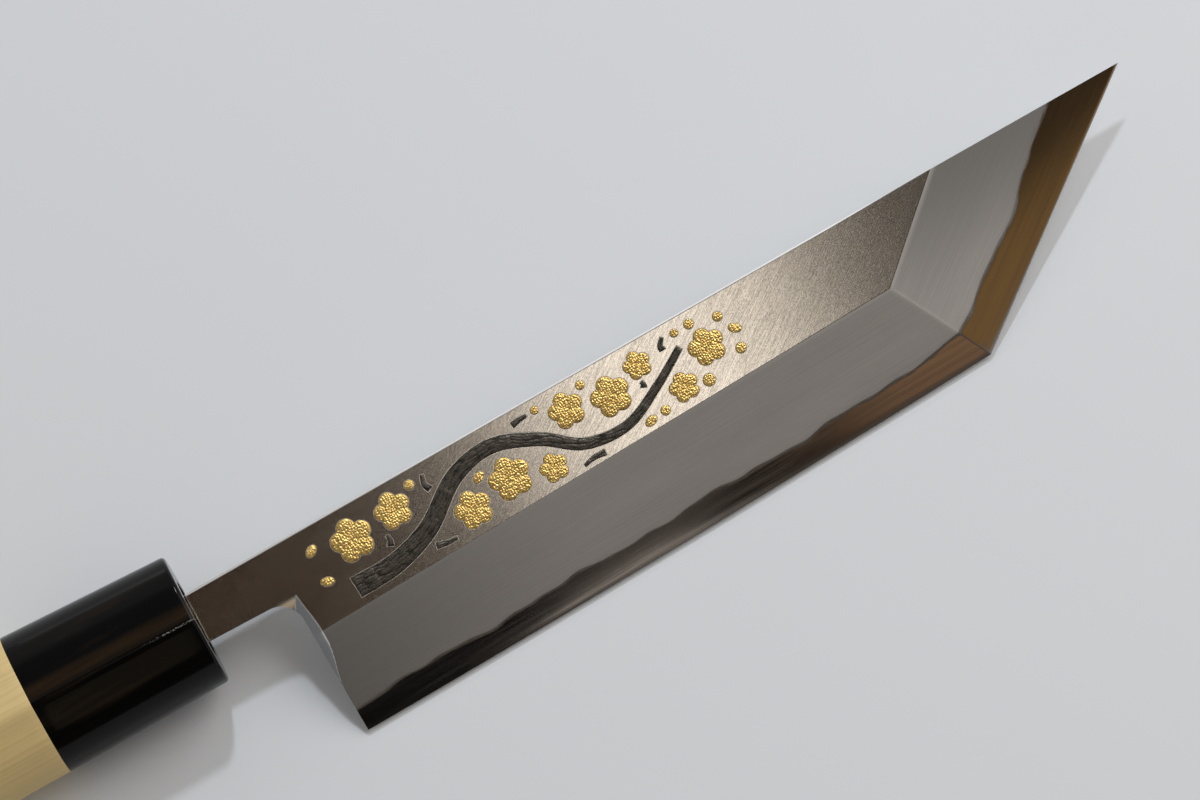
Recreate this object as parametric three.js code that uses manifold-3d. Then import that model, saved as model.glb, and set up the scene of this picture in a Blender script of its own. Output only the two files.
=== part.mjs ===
// Eel knife: a single-bevel blade of soft iron on hard steel, with a wooden grip and a horn ferrule.
// Sizes are in millimetres. The knife lies on its hollow back: +X runs along the handle towards the point,
// +Y towards the spine and +Z out of the bevelled face. Each piece is drawn with the ferrule's front face
// at x = 0 and the handle's axis on y = 0, and the blade's back is at z = 0 until it is set in the handle.

import * as THREE from 'three';
import { mergeVertices } from 'three/addons/utils/BufferGeometryUtils.js';
import Module from 'manifold-3d';

const wasm = await Module();
wasm.setup();

const { degToRad, lerp, smoothstep } = THREE.MathUtils;

// Blade outline
const bladeLength = 210; // heel to point
const heelHeight = 44.7; // spine to edge at the heel
const cornerHeight = 41; // spine to edge where the edge turns up to the point
const edgeRun = 156; // heel to that corner
const edgeBelly = 0.6; // how far the edge bows out between the two
const spineClimb = degToRad(1.55); // the spine's angle to the handle's axis
const neckLength = 21.1; // ferrule to heel
const neckHeight = 11.4;
const heelSlant = degToRad(4); // the heel's face leans towards the point as it nears the edge
const notchRadius = 4.5; // fillet between the neck and the heel's face

// Blade faces
const spineThickness = 5.2;
const bevelWidth = 23.3;
const pointBevelWidth = 24.8; // at the corner
const pointBevelSpread = degToRad(4.1); // the bevel widens towards the spine
const neckSpineChamfer = 1.3;
const pointSpineChamfer = 0.7;
const heelChamfer = 2.6; // polished slope on the heel's face, full width from the ridge line upwards
const neckChamfer = 1.5; // the same slope under the neck, where it meets the heel's
const neckChamferStart = 10.5; // ferrule to where that slope begins
const hollowRadius = 330; // of the hollow ground into the back
const hollowRim = 3.2; // flat left along the spine
const hollowEdgeRim = 1.2; // flat left along the cutting edges
const hollowRunOut = 14; // length over which the hollow fades in at the heel

// Hard steel layer
const steelAtHeel = 1.3;
const steelAtPoint = 2;
const steelWaver = 0.11; // rise and fall of the forge weld
const longWaver = 37; // length of its long waves
const shortWaver = 13.5; // length of the short waves on them
const shortWaverShare = 0.6; // height of the short waves, in long ones
const scarfStart = 6; // ferrule to where the steel runs out under the neck
const scarfLength = 22;
const weldGap = 0.05;

// Tang
const tangLength = 98;
const tangLap = 1; // how far the tapered bar starts inside the neck
const tangEndHeight = 5.5;
const tangEndThickness = 3.2;
const tangClearance = 0.3;

// Handle
const handleLength = 140;
const ferruleLength = 39;
const frontHeight = 30.1;
const frontThickness = 25.6;
const jointHeight = 32.3;
const jointThickness = 27.4;
const buttHeight = 33.4;
const buttThickness = 28.4;
const gripSwell = 0.9;
const ridgeRise = 1.2; // ridge of the chestnut section above its oval
const ridgeRound = 1.6; // from the ridge down each flat to where its rounding starts
const ferruleRound = 0.9;
const buttRound = 2.2;
const tenonDiameter = 17.5;
const tenonClearance = 0.2;
const tenonRecess = 0.6; // tenon's end below the ferrule's front face

// Plum branch inlaid in the flat of the blade
const ornamentStart = 33; // ferrule to the bough's root
const ornamentLength = 98;
const ornamentWidth = 20; // width of flat that the ornament is drawn for
const pocketDepth = 0.6;
const inlayRelief = 0.35; // how far the inlays stand above the flat
const inlayClearance = 0.15;
const petalsPerBlossom = 5;
const petalReach = 0.56; // centre of a petal from the blossom's centre, in blossom radii
const fallenPetalLength = 3;
const fallenPetalWidth = 2;
const boughWidths = [4.8, 1.6]; // root and tip
const twigWidths = [1.5, 0.8];

// Facets
const ovalSteps = 52;
const ridgeSteps = 4;
const roundSteps = 3;
const gripSteps = 9;
const boreSteps = 48;
const notchSteps = 14;
const edgeSteps = 12;
const pointBevelSteps = 6;
const hollowSteps = 40;
const hollowArcSteps = 12;
const weldStep = 2.5;
const petalSteps = 7;
const budSteps = 16;
const boughSteps = 44;
const twigSteps = 8;
const overshoot = 60; // how far a cut runs past the metal

const onSpine = (x) => neckHeight / 2 + x * Math.tan(spineClimb);
const belowSpine = (x, height) => new THREE.Vector2(x, onSpine(x) - height);
const leftOf = (a, b) => new THREE.Vector2(a.y - b.y, b.x - a.x).normalize();
const between = (a, b, way) => a.clone().lerp(b, way);

const neckTop = belowSpine(0, 0);
const heel = belowSpine(neckLength, heelHeight);
const corner = belowSpine(neckLength + edgeRun, cornerHeight);
const point = belowSpine(neckLength + bladeLength, 0);
const edgeInward = leftOf(heel, corner);
const pointInward = leftOf(corner, point);

// Depth of the edge's belly at a share of the way from the heel to the corner, and nothing beyond them.
const bellyAt = (way) => edgeBelly * Math.max(0, 4 * way * (1 - way));
const onEdge = (way) => between(heel, corner, way).addScaledVector(edgeInward, -bellyAt(way));

// A three.js geometry as a solid that can be joined and cut.
function solidOf(geometry) {
  const bare = geometry.clone();
  bare.deleteAttribute('normal');
  bare.deleteAttribute('uv');
  const merged = mergeVertices(bare);
  const vertProperties = merged.attributes.position.array;
  const triVerts = new Uint32Array(merged.index.array);
  return new wasm.Manifold(new wasm.Mesh({ numProp: 3, vertProperties, triVerts }));
}

// A joined or cut solid as a three.js geometry.
function geometryOf(solid) {
  const { vertProperties, triVerts } = solid.getMesh();
  const geometry = new THREE.BufferGeometry();
  geometry.setAttribute('position', new THREE.BufferAttribute(vertProperties, 3));
  geometry.setIndex(new THREE.BufferAttribute(triVerts, 1));
  return geometry;
}

// Six times the volume inside a list of triangles, negative where they face inwards.
function signedVolume(points, triangles) {
  let volume = 0;
  for (const [a, b, c] of triangles) {
    volume += points[a].dot(points[b].clone().cross(points[c]));
  }
  return volume;
}

// A closed skin over convex rings of points, all with the same count, and flat caps on the end rings.
function loft(rings) {
  const count = rings[0].length;
  const last = (rings.length - 1) * count;
  const points = rings.flat();
  const triangles = [];
  for (let ring = 0; ring < last; ring += count) {
    for (let i = 0; i < count; i++) {
      const a = ring + i;
      const b = ring + ((i + 1) % count);
      triangles.push([a, b, b + count], [a, b + count, a + count]);
    }
  }
  for (let i = 1; i < count - 1; i++) {
    triangles.push([0, i + 1, i], [last, last + i, last + i + 1]);
  }
  if (signedVolume(points, triangles) < 0) {
    triangles.forEach((triangle) => triangle.reverse());
  }
  const geometry = new THREE.BufferGeometry().setFromPoints(points);
  geometry.setIndex(triangles.flat());
  return geometry;
}

function extrude(shape, depth, curveSegments) {
  return new THREE.ExtrudeGeometry(shape, { depth, curveSegments, bevelEnabled: false });
}

// Everything above a slope that runs along an edge. Each station has a place on the edge, the way into the
// metal, the height of the upper face there, how far in the slope reaches that face, and its steepness.
function aboveSlope(stations) {
  const rings = stations.map(({ place, inward, top, run, steepness = 1 }) => {
    const at = (inset, z) => new THREE.Vector3(place.x + inward.x * inset, place.y + inward.y * inset, z);
    const foot = top - (run + overshoot) * steepness;
    const crest = top + overshoot * steepness;
    return [at(-overshoot, foot), at(run + overshoot, crest), at(-overshoot, crest)];
  });
  return solidOf(loft(rings));
}

// The finger notch: under the neck, round the fillet and down the heel's face to the edge.
const notchTop = -neckHeight / 2 - notchRadius;
const notchRise = (notchTop - heel.y + notchRadius * Math.sin(heelSlant)) / Math.cos(heelSlant);
const notchCentre = new THREE.Vector2(
  heel.x - notchRadius * Math.cos(heelSlant) - notchRise * Math.sin(heelSlant),
  notchTop,
);

function bladeBlank() {
  const outline = new THREE.Shape();
  outline.moveTo(point.x, point.y);
  outline.lineTo(neckTop.x, neckTop.y);
  outline.lineTo(neckTop.x, -neckHeight / 2);
  outline.absarc(notchCentre.x, notchCentre.y, notchRadius, Math.PI / 2, heelSlant, true);
  for (let i = 0; i <= edgeSteps; i++) {
    const place = onEdge(i / edgeSteps);
    outline.lineTo(place.x, place.y);
  }
  return solidOf(extrude(outline, spineThickness, notchSteps));
}

// A tapered bar from inside the neck to the tang's end. Grown by a clearance, it is the slot for the tang.
function tang(clearance) {
  const ring = (x, height, thickness) => {
    const y = height / 2 + clearance;
    const z = thickness / 2 + clearance;
    const middle = spineThickness / 2;
    return [[-y, -z], [y, -z], [y, z], [-y, z]].map(([v, w]) => new THREE.Vector3(x, v, middle + w));
  };
  return solidOf(loft([
    ring(-tangLength - clearance, tangEndHeight, tangEndThickness),
    ring(tangLap, neckHeight, spineThickness),
  ]));
}

// Shares of the way along an edge: its ends, the steps between them, and a length past each end.
const waysAlong = (steps) => [-1, ...Array.from({ length: steps + 1 }, (_, i) => i / steps), 2];

// A bevel runs from the edge, on the back's plane, up to the flat.
const bevelStation = (place, inward, run) => (
  { place, inward, top: spineThickness, run, steepness: spineThickness / run }
);

function edgeBevel() {
  return aboveSlope(waysAlong(edgeSteps).map((way) => (
    bevelStation(onEdge(way), edgeInward, bevelWidth + bellyAt(way))
  )));
}

const pointBevelAt = (way) => pointBevelWidth + way * corner.distanceTo(point) * Math.tan(pointBevelSpread);

function pointBevel() {
  return aboveSlope(waysAlong(pointBevelSteps).map((way) => (
    bevelStation(between(corner, point, way), pointInward, pointBevelAt(way))
  )));
}

// Where the line through a and b crosses the line through c and d.
function crossing(a, b, c, d) {
  const along = b.clone().sub(a);
  const across = leftOf(c, d);
  return a.clone().addScaledVector(along, c.clone().sub(a).dot(across) / along.dot(across));
}

// The chamfer along the spine narrows to the point bevel and closes at the point.
function spineChamfer() {
  const inward = leftOf(point, neckTop);
  const bevelTop = (place, way) => place.clone().addScaledVector(pointInward, pointBevelAt(way));
  const shoulder = crossing(bevelTop(corner, 0), bevelTop(point, 1), neckTop, point);
  return aboveSlope([
    { place: belowSpine(-ferruleLength, 0), inward, top: spineThickness, run: neckSpineChamfer },
    { place: shoulder, inward, top: spineThickness, run: pointSpineChamfer },
    { place: point, inward, top: 0, run: 0 },
  ]);
}

// The polished slopes under the neck and down the heel's face, which meet in a mitre.
function notchChamfer() {
  const up = new THREE.Vector2(0, 1);
  const underNeck = (x, run) => ({
    place: new THREE.Vector2(x, -neckHeight / 2), inward: up, top: spineThickness, run,
  });
  const forward = new THREE.Vector2(Math.cos(heelSlant), Math.sin(heelSlant));
  const downHeel = (rise, top, run) => ({
    place: heel.clone().add(new THREE.Vector2(-forward.y, forward.x).multiplyScalar(rise)),
    inward: forward, top, run,
  });
  const neckSlope = aboveSlope([
    underNeck(-ferruleLength, 0),
    underNeck(neckChamferStart, 0),
    underNeck(neckLength, neckChamfer),
    underNeck(neckLength + overshoot, neckChamfer),
  ]);
  const heelSlope = aboveSlope([
    downHeel(0, 0, 0),
    downHeel(bevelWidth, spineThickness, heelChamfer),
    downHeel(heelHeight, spineThickness, heelChamfer),
  ]);
  return neckSlope.intersect(heelSlope);
}

// The hollow in the back: deepest midway between its rims, as deep as an arc of hollowRadius would be there.
function backHollow() {
  const edgeSlope = (corner.y - heel.y) / (corner.x - heel.x);
  const pointSlope = (point.y - corner.y) / (point.x - corner.x);
  const upper = (x) => onSpine(x) - hollowRim;
  const edgeRim = (x) => corner.y + (x - corner.x) * edgeSlope + hollowEdgeRim * Math.hypot(1, edgeSlope);
  const pointRim = (x) => corner.y + (x - corner.x) * pointSlope + hollowEdgeRim * Math.hypot(1, pointSlope);
  const lower = (x) => Math.max(edgeRim(x), pointRim(x));
  const start = neckLength + heelChamfer;
  const end = corner.x + (upper(corner.x) - pointRim(corner.x)) / (pointSlope - Math.tan(spineClimb));
  const rings = [];
  for (let i = 0; i <= hollowSteps; i++) {
    const x = lerp(start, end, i / hollowSteps);
    const fade = smoothstep(x, start, start + hollowRunOut);
    const ring = [upper(x), lower(x)].map((y) => new THREE.Vector3(x, y, -overshoot));
    for (let j = 0; j <= hollowArcSteps; j++) {
      const y = lerp(lower(x), upper(x), j / hollowArcSteps);
      const depth = (y - lower(x)) * (upper(x) - y) / (2 * hollowRadius);
      ring.push(new THREE.Vector3(x, y, fade * depth));
    }
    rings.push(ring);
  }
  return solidOf(loft(rings));
}

// Height of the forge weld over the back: it wavers, climbs towards the point and ends in a scarf.
function weldHeight(x) {
  const steel = lerp(steelAtHeel, steelAtPoint, smoothstep(x, (heel.x + corner.x) / 2, corner.x));
  const wave = (length) => Math.sin(2 * Math.PI * x / length);
  const waver = wave(longWaver) + shortWaverShare * wave(shortWaver);
  const scarf = THREE.MathUtils.clamp((x - scarfStart) / scarfLength, 0, 1);
  return (steel + steelWaver * waver) * scarf;
}

// Everything under the weld, raised by a gap.
function underWeld(gap) {
  const section = new THREE.Shape();
  section.moveTo(scarfStart, -overshoot);
  const steps = Math.ceil((point.x - scarfStart) / weldStep);
  for (let i = 0; i <= steps; i++) {
    const x = scarfStart + i * weldStep;
    section.lineTo(x, weldHeight(x) + gap);
  }
  section.lineTo(scarfStart + steps * weldStep, -overshoot);
  const width = heelHeight + 2 * overshoot;
  return solidOf(extrude(section, width, 1).rotateX(Math.PI / 2).translate(0, width / 2, 0));
}

function forgedBlade() {
  return bladeBlank()
    .subtract(edgeBevel())
    .subtract(pointBevel())
    .subtract(spineChamfer())
    .subtract(notchChamfer())
    .subtract(backHollow());
}

// Plum branch. Places are measured from the bough's root: towards the point, then towards the spine.
const bough = [
  [0, -6.4], [10, -6.2], [20, -3.2], [30, 3.4], [40, 5.2], [50, 1.2], [58, -4.6], [68, -5.8], [78, -1.6], [86, 3],
];
const twigs = [
  [[10.9, -2.5], [11.4, -1.3], [11.5, -0.1]],
  [[19.4, -7.4], [21.8, -8], [24.2, -8.2]],
  [[24.4, 3.8], [23.8, 5.4], [24.4, 7.4]],
  [[46.4, 6.7], [48.3, 7], [50.2, 7]],
  [[75, -0.6], [75.3, 0.1], [75.1, 0.8]],
  [[82.6, 4.2], [82.6, 5.4], [83.8, 6.8]],
  [[61, -8.4], [58.2, -8.2], [55.6, -8.7]],
];
const blossoms = [
  { place: [4.5, 2.9], radius: 4.9 },
  { place: [15.2, 3.9], radius: 4.2 },
  { place: [30.2, -4.7], radius: 4.3 },
  { place: [40.4, -2.9], radius: 4.9 },
  { place: [58.2, 3.6], radius: 4.1 },
  { place: [68, 1.4], radius: 4.6 },
  { place: [76.2, 4.3], radius: 3.2 },
  { place: [49.7, -5.7], radius: 3.3 },
  { place: [82.6, -4.9], radius: 3.4 },
  { place: [91.2, 0.2], radius: 4.2 },
];
const buds = [
  { place: [20.9, 6.9], radius: 1.1 },
  { place: [52.2, 7.1], radius: 0.9 },
  { place: [63.4, 6.8], radius: 1 },
  { place: [88, -6.3], radius: 1.4 },
  { place: [90.2, 6.3], radius: 1.1 },
  { place: [96.4, 4.6], radius: 1.1 },
  { place: [97.4, -3.8], radius: 1.2 },
  { place: [76.6, -7.2], radius: 1.1 },
  { place: [86.5, 6.2], radius: 0.9 },
];
const fallenPetals = [
  { place: [-4.4, 5.2], turn: degToRad(35) },
  { place: [-4.6, -2.2], turn: degToRad(-20) },
  { place: [72.8, -7.6], turn: degToRad(15) },
  { place: [98.4, 0.6], turn: degToRad(-40) },
  { place: [34.6, 0.7], turn: degToRad(25) },
];

// A stroke along a smooth curve, with its width running from one end's to the other's.
function strokeShape(path, widths, steps, grow) {
  const curve = new THREE.SplineCurve(path.map(([x, y]) => new THREE.Vector2(x, y)));
  const upper = [];
  const lower = [];
  for (let i = 0; i <= steps; i++) {
    const way = i / steps;
    const tangent = curve.getTangentAt(way);
    const normal = new THREE.Vector2(-tangent.y, tangent.x);
    const half = lerp(widths[0], widths[1], way) / 2 + grow;
    const pastEnd = i === 0 ? -grow : i === steps ? grow : 0;
    const middle = curve.getPointAt(way).addScaledVector(tangent, pastEnd);
    upper.push(middle.clone().addScaledVector(normal, half));
    lower.unshift(middle.clone().addScaledVector(normal, -half));
  }
  return new THREE.Shape([...upper, ...lower]);
}

// A blossom of round petals: an arc for each petal, from one crease to the next.
function blossomShape([x, y], radius, grow) {
  const reach = petalReach * radius;
  const petal = radius - reach + grow;
  const half = Math.PI / petalsPerBlossom;
  const crease = reach * Math.cos(half) + Math.sqrt(petal ** 2 - (reach * Math.sin(half)) ** 2);
  const spread = Math.atan2(crease * Math.sin(half), crease * Math.cos(half) - reach);
  const points = [];
  for (let i = 0; i < petalsPerBlossom; i++) {
    const axis = Math.PI / 2 + 2 * half * i;
    for (let j = 0; j < petalSteps; j++) {
      const angle = axis + lerp(-spread, spread, j / petalSteps);
      points.push(new THREE.Vector2(
        x + reach * Math.cos(axis) + petal * Math.cos(angle),
        y + reach * Math.sin(axis) + petal * Math.sin(angle),
      ));
    }
  }
  return new THREE.Shape(points);
}

function ovalShape([x, y], length, width, turn, grow) {
  const radii = [length / 2 + grow, width / 2 + grow];
  const oval = new THREE.EllipseCurve(x, y, ...radii, 0, 2 * Math.PI, false, turn);
  return new THREE.Shape(oval.getPoints(budSteps).slice(0, -1));
}

const darkMetal = { color: 0x2b2926, roughness: 0.5, metalness: 0.8 };
const gold = { color: 0xc79a3c, roughness: 0.4, metalness: 1 };

function inlayList() {
  const numbered = (name, list, outline, look) =>
    list.map((motif, i) => ({ name: `${name}_${i + 1}`, look, outline: (grow) => outline(motif, grow) }));
  return [
    { name: 'bough', look: darkMetal, outline: (grow) => strokeShape(bough, boughWidths, boughSteps, grow) },
    ...numbered('twig', twigs, (path, grow) => strokeShape(path, twigWidths, twigSteps, grow), darkMetal),
    ...numbered('blossom', blossoms, (motif, grow) => blossomShape(motif.place, motif.radius, grow), gold),
    ...numbered('bud', buds, (motif, grow) =>
      ovalShape(motif.place, 2 * motif.radius, 2 * motif.radius, 0, grow), gold),
    ...numbered('fallen_petal', fallenPetals, (motif, grow) =>
      ovalShape(motif.place, fallenPetalLength, fallenPetalWidth, motif.turn, grow), gold),
  ];
}

// The ornament follows the middle of the flat and is scaled to the flat's width at its own middle.
function ornamentGroup() {
  const edgeSlope = (corner.y - heel.y) / (corner.x - heel.x);
  const ridgeLine = (x) => heel.y + (x - heel.x) * edgeSlope + bevelWidth * Math.hypot(1, edgeSlope);
  const middle = (x) => (onSpine(x) + ridgeLine(x)) / 2;
  const centre = ornamentStart + ornamentLength / 2;
  const scale = (onSpine(centre) - ridgeLine(centre)) / ornamentWidth;
  const group = new THREE.Group();
  group.position.set(ornamentStart, middle(ornamentStart), spineThickness - pocketDepth);
  group.rotation.z = (Math.atan(edgeSlope) + spineClimb) / 2;
  group.scale.set(scale, scale, 1);
  group.updateMatrix();
  return group;
}

// Size of the handle's oval at a place along its axis.
function handleOval(x) {
  if (x >= -ferruleLength) {
    const way = -x / ferruleLength;
    return {
      height: lerp(frontHeight, jointHeight, way),
      thickness: lerp(frontThickness, jointThickness, way),
    };
  }
  const way = (-x - ferruleLength) / (handleLength - ferruleLength);
  const swell = gripSwell * Math.sin(Math.PI * way);
  return {
    height: lerp(jointHeight, buttHeight, way) + swell,
    thickness: lerp(jointThickness, buttThickness, way) + swell,
  };
}

// Chestnut section: an oval whose flats run up to a soft ridge on the bevelled side.
function chestnutRing(x, inset = 0) {
  const { height, thickness } = handleOval(x);
  const halfHeight = height / 2 - inset;
  const halfThickness = thickness / 2 - inset;
  const apex = new THREE.Vector2(0, halfThickness + ridgeRise);
  const touch = Math.asin(halfThickness / apex.y);
  const oval = new THREE.EllipseCurve(0, 0, halfHeight, halfThickness, Math.PI - touch, touch, false);
  const shoulder = (end) => apex.clone().add(end.clone().sub(apex).setLength(ridgeRound));
  const ridge = new THREE.QuadraticBezierCurve(shoulder(oval.getPoint(1)), apex, shoulder(oval.getPoint(0)));
  const section = [...oval.getPoints(ovalSteps), ...ridge.getPoints(ridgeSteps)];
  return section.map((p) => new THREE.Vector3(x, p.x, p.y));
}

// Rings of a rounded end: the way points outwards along X.
function roundedEnd(end, way, radius) {
  const rings = [];
  for (let i = 0; i <= roundSteps; i++) {
    const angle = (Math.PI / 2) * (i / roundSteps);
    const x = end - way * radius * (1 - Math.sin(angle));
    rings.push(chestnutRing(x, radius * (1 - Math.cos(angle))));
  }
  return rings;
}

function rodAlongAxis(diameter, from, to) {
  const rod = new THREE.CylinderGeometry(diameter / 2, diameter / 2, to - from, boreSteps);
  return solidOf(rod.rotateZ(Math.PI / 2).translate((from + to) / 2, 0, 0));
}

function ferrule() {
  const ring = solidOf(loft([chestnutRing(-ferruleLength), ...roundedEnd(0, 1, ferruleRound)]));
  const bore = rodAlongAxis(tenonDiameter + 2 * tenonClearance, -handleLength, overshoot);
  return geometryOf(ring.subtract(bore));
}

function handleGrip() {
  const rings = roundedEnd(-handleLength, -1, buttRound).reverse();
  for (let i = 1; i <= gripSteps; i++) {
    rings.push(chestnutRing(lerp(buttRound - handleLength, -ferruleLength, i / gripSteps)));
  }
  const tenon = rodAlongAxis(tenonDiameter, -ferruleLength - tenonDiameter / 2, -tenonRecess);
  const slot = tang(tangClearance).translate([0, 0, -spineThickness / 2]);
  return geometryOf(solidOf(loft(rings)).add(tenon).subtract(slot));
}

function piece(name, geometry, { color, roughness, metalness }) {
  geometry.computeVertexNormals();
  const mesh = new THREE.Mesh(geometry, new THREE.MeshStandardMaterial({ color, roughness, metalness }));
  mesh.name = name;
  return mesh;
}

// The blade, with its middle plane on the handle's axis.
function bladeGroup() {
  const group = new THREE.Group();
  const ornament = ornamentGroup();
  const blade = forgedBlade();
  let iron = blade.subtract(underWeld(weldGap)).add(tang(0));
  for (const { name, outline, look } of inlayList()) {
    const pocket = extrude(outline(inlayClearance), pocketDepth + inlayRelief).applyMatrix4(ornament.matrix);
    iron = iron.subtract(solidOf(pocket));
    ornament.add(piece(name, extrude(outline(0), pocketDepth + inlayRelief), look));
  }
  const steel = blade.intersect(underWeld(0));
  group.add(piece('blade_iron', geometryOf(iron), { color: 0x8f8b86, roughness: 0.35, metalness: 1 }));
  group.add(piece('edge_steel', geometryOf(steel), { color: 0x6a645e, roughness: 0.18, metalness: 1 }));
  group.add(ornament);
  group.position.z = -spineThickness / 2;
  return group;
}

const knife = new THREE.Group();
knife.add(bladeGroup());
knife.add(piece('ferrule', ferrule(), { color: 0x14110f, roughness: 0.15, metalness: 0 }));
knife.add(piece('handle_grip', handleGrip(), { color: 0xe0c88f, roughness: 0.6, metalness: 0 }));

// The origin is under the middle of the knife, on the plane of its lowest point.
const bounds = new THREE.Box3().setFromObject(knife);
const middle = bounds.getCenter(new THREE.Vector3());
knife.position.set(-middle.x, -middle.y, -bounds.min.z);

export default knife;
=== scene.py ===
"""Looks of an eel knife: the visible pieces, their finishes and the studio, built over the CAD frame.

Sizes are in metres in the frame shared with the CAD: X runs along the handle towards the point, Y towards the
spine and Z out of the bevelled face. Corners and places come from the CAD pieces, so they follow the frame.
"""

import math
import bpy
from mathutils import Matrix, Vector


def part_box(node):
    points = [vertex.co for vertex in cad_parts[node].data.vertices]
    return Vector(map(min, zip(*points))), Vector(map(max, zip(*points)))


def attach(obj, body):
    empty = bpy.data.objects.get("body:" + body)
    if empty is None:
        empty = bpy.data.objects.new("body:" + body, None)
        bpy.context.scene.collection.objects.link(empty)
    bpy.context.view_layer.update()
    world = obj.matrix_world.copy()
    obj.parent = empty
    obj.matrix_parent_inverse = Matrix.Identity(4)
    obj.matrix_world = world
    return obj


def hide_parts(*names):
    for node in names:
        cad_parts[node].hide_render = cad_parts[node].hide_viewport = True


bl_info = {
    "name": "Eel knife",
    "version": (1, 0, 0),
    "blender": (4, 5, 0),
    "location": "3D View > Sidebar > Eel knife",
    "description": "Builds the visible pieces, finishes and studio of an eel knife over its CAD frame",
    "category": "Object",
}

import bpy
import numpy as np
from mathutils import Matrix, Vector
from mathutils.geometry import delaunay_2d_cdt

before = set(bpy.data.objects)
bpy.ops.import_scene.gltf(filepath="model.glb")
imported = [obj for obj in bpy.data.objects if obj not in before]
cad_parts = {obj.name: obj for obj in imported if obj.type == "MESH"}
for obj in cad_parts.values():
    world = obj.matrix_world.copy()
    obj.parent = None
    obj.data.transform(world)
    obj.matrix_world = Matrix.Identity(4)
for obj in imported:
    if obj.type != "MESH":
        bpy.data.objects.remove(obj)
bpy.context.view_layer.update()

MM = 0.001
LEVEL_SLACK = 0.001 * MM  # points this near to the top of a piece count as being on it
PLACE_DECIMALS = 7  # decimals of a metre at which two places of a CAD piece are the same
NOISE_SPAN = (0.3, 0.7)  # where most of a noise's values lie
SCATTER_STEPS = (127.1, 311.7, 74.7)  # unrelated steps, so that neighbours differ
SCATTER_SPREAD = 43758.5453


def length(name, default, description):
    """A size in metres that can be set in the panel."""
    return bpy.props.FloatProperty(
        name=name, description=description, default=default, min=0.0, unit="LENGTH", precision=5
    )


def colour(name, default, description):
    """A colour that can be set in the panel."""
    return bpy.props.FloatVectorProperty(
        name=name, description=description, default=default, size=3, min=0.0, max=1.0, subtype="COLOR"
    )


def angle(name, degrees, description):
    """An angle that can be set in the panel."""
    return bpy.props.FloatProperty(
        name=name, description=description, default=math.radians(degrees), unit="ROTATION"
    )


def share(name, default, description):
    """A share between nothing and all that can be set in the panel."""
    return bpy.props.FloatProperty(
        name=name, description=description, default=default, min=0.0, max=1.0, subtype="FACTOR"
    )


class KnifeBladeSettings(bpy.types.PropertyGroup):
    """Sizes and finishes of the blade."""

    neck_height: length("Neck height", 0.0114, "Height of the neck at the ferrule's front")
    notch_radius: length("Notch radius", 0.0056, "Fillet between the neck and the heel's face")
    heel_slant: angle("Heel slant", 1.9, "Lean of the heel's face: its upper end is nearer to the handle")
    edge_belly: length("Edge belly", 0.0006, "How far the edge bows out between the heel and its corner")
    heel_chamfer: length("Heel chamfer", 0.0023, "Greatest width of the polished slope on the heel's face")
    heel_slope: share("Heel slope", 0.5, "Mean steepness of that slope")
    scoop_start: length("Scoop start", 0.0042, "From the fillet's middle to where the neck's slope begins")
    scoop_climb: share("Scoop climb", 0.03, "Climb of the upper edge of that slope")
    neck_slope: share("Neck slope", 0.3, "Mean steepness of that slope's first millimetre")
    spine_chamfer_neck: length("Neck's spine chamfer", 0.0005, "Width of the spine's chamfer at the handle")
    spine_chamfer_point: length("Point's spine chamfer", 0.00036, "Its width before it closes")
    spine_slope: bpy.props.FloatProperty(
        name="Spine slope", description="Steepness of the spine's chamfer", default=1.2, min=0.1, max=4.0
    )
    fine_edge: length("Fine edge", 0.0003, "Width of the steeper strip along the cutting edges")
    fine_edge_rise: share("Fine edge rise", 0.27, "Steepness of that strip")
    bevel_swell: length("Bevel swell", 0.0001, "How far the bevels swell between edge and flat")
    ridge_round: length("Ridge rounding", 0.00022, "How far a ridge is rounded to each side, at most")
    hollow_radius: length("Hollow radius", 0.33, "Radius of the hollow in the back")
    hollow_rim: length("Hollow rim", 0.0032, "Flat left along the spine")
    hollow_edge_rim: length("Hollow edge rim", 0.0012, "Flat left along the cutting edges")
    hollow_run_out: length("Hollow run-out", 0.014, "Length over which the hollow fades in at the heel")
    steel_at_heel: length("Steel at the heel", 0.00138, "Thickness of the hard steel at the heel")
    steel_at_corner: length("Steel at the corner", 0.00178, "Its thickness shortly before the edge's corner")
    weld_waver: length("Weld waver", 0.00016, "Rise and fall of the forge weld")
    scarf_start: length("Scarf start", 0.006, "Ferrule to where the steel runs out under the neck")
    scarf_length: length("Scarf length", 0.014, "Length over which the steel reaches its thickness")
    tang_length: length("Tang length", 0.098, "Length of the tang in the handle")
    tang_end_height: length("Tang end height", 0.0055, "Height of the tang at its end")
    tang_end_thickness: length("Tang end thickness", 0.0032, "Thickness of the tang at its end")
    scratch_angle: angle("Scratch angle", 36.0, "Direction of the fine scratches on the flat")
    iron_colour: colour("Iron colour", (0.6, 0.57, 0.535), "Colour of the polished soft iron")
    haze_colour: colour("Haze colour", (0.59, 0.56, 0.53), "Colour of the hazy iron on the bevels")
    polish_colour: colour("Polish colour", (0.74, 0.73, 0.71), "Colour of the polished chamfers and back")
    steel_colour: colour("Steel colour", (0.53, 0.505, 0.48), "Colour of the polished hard steel")


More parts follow.
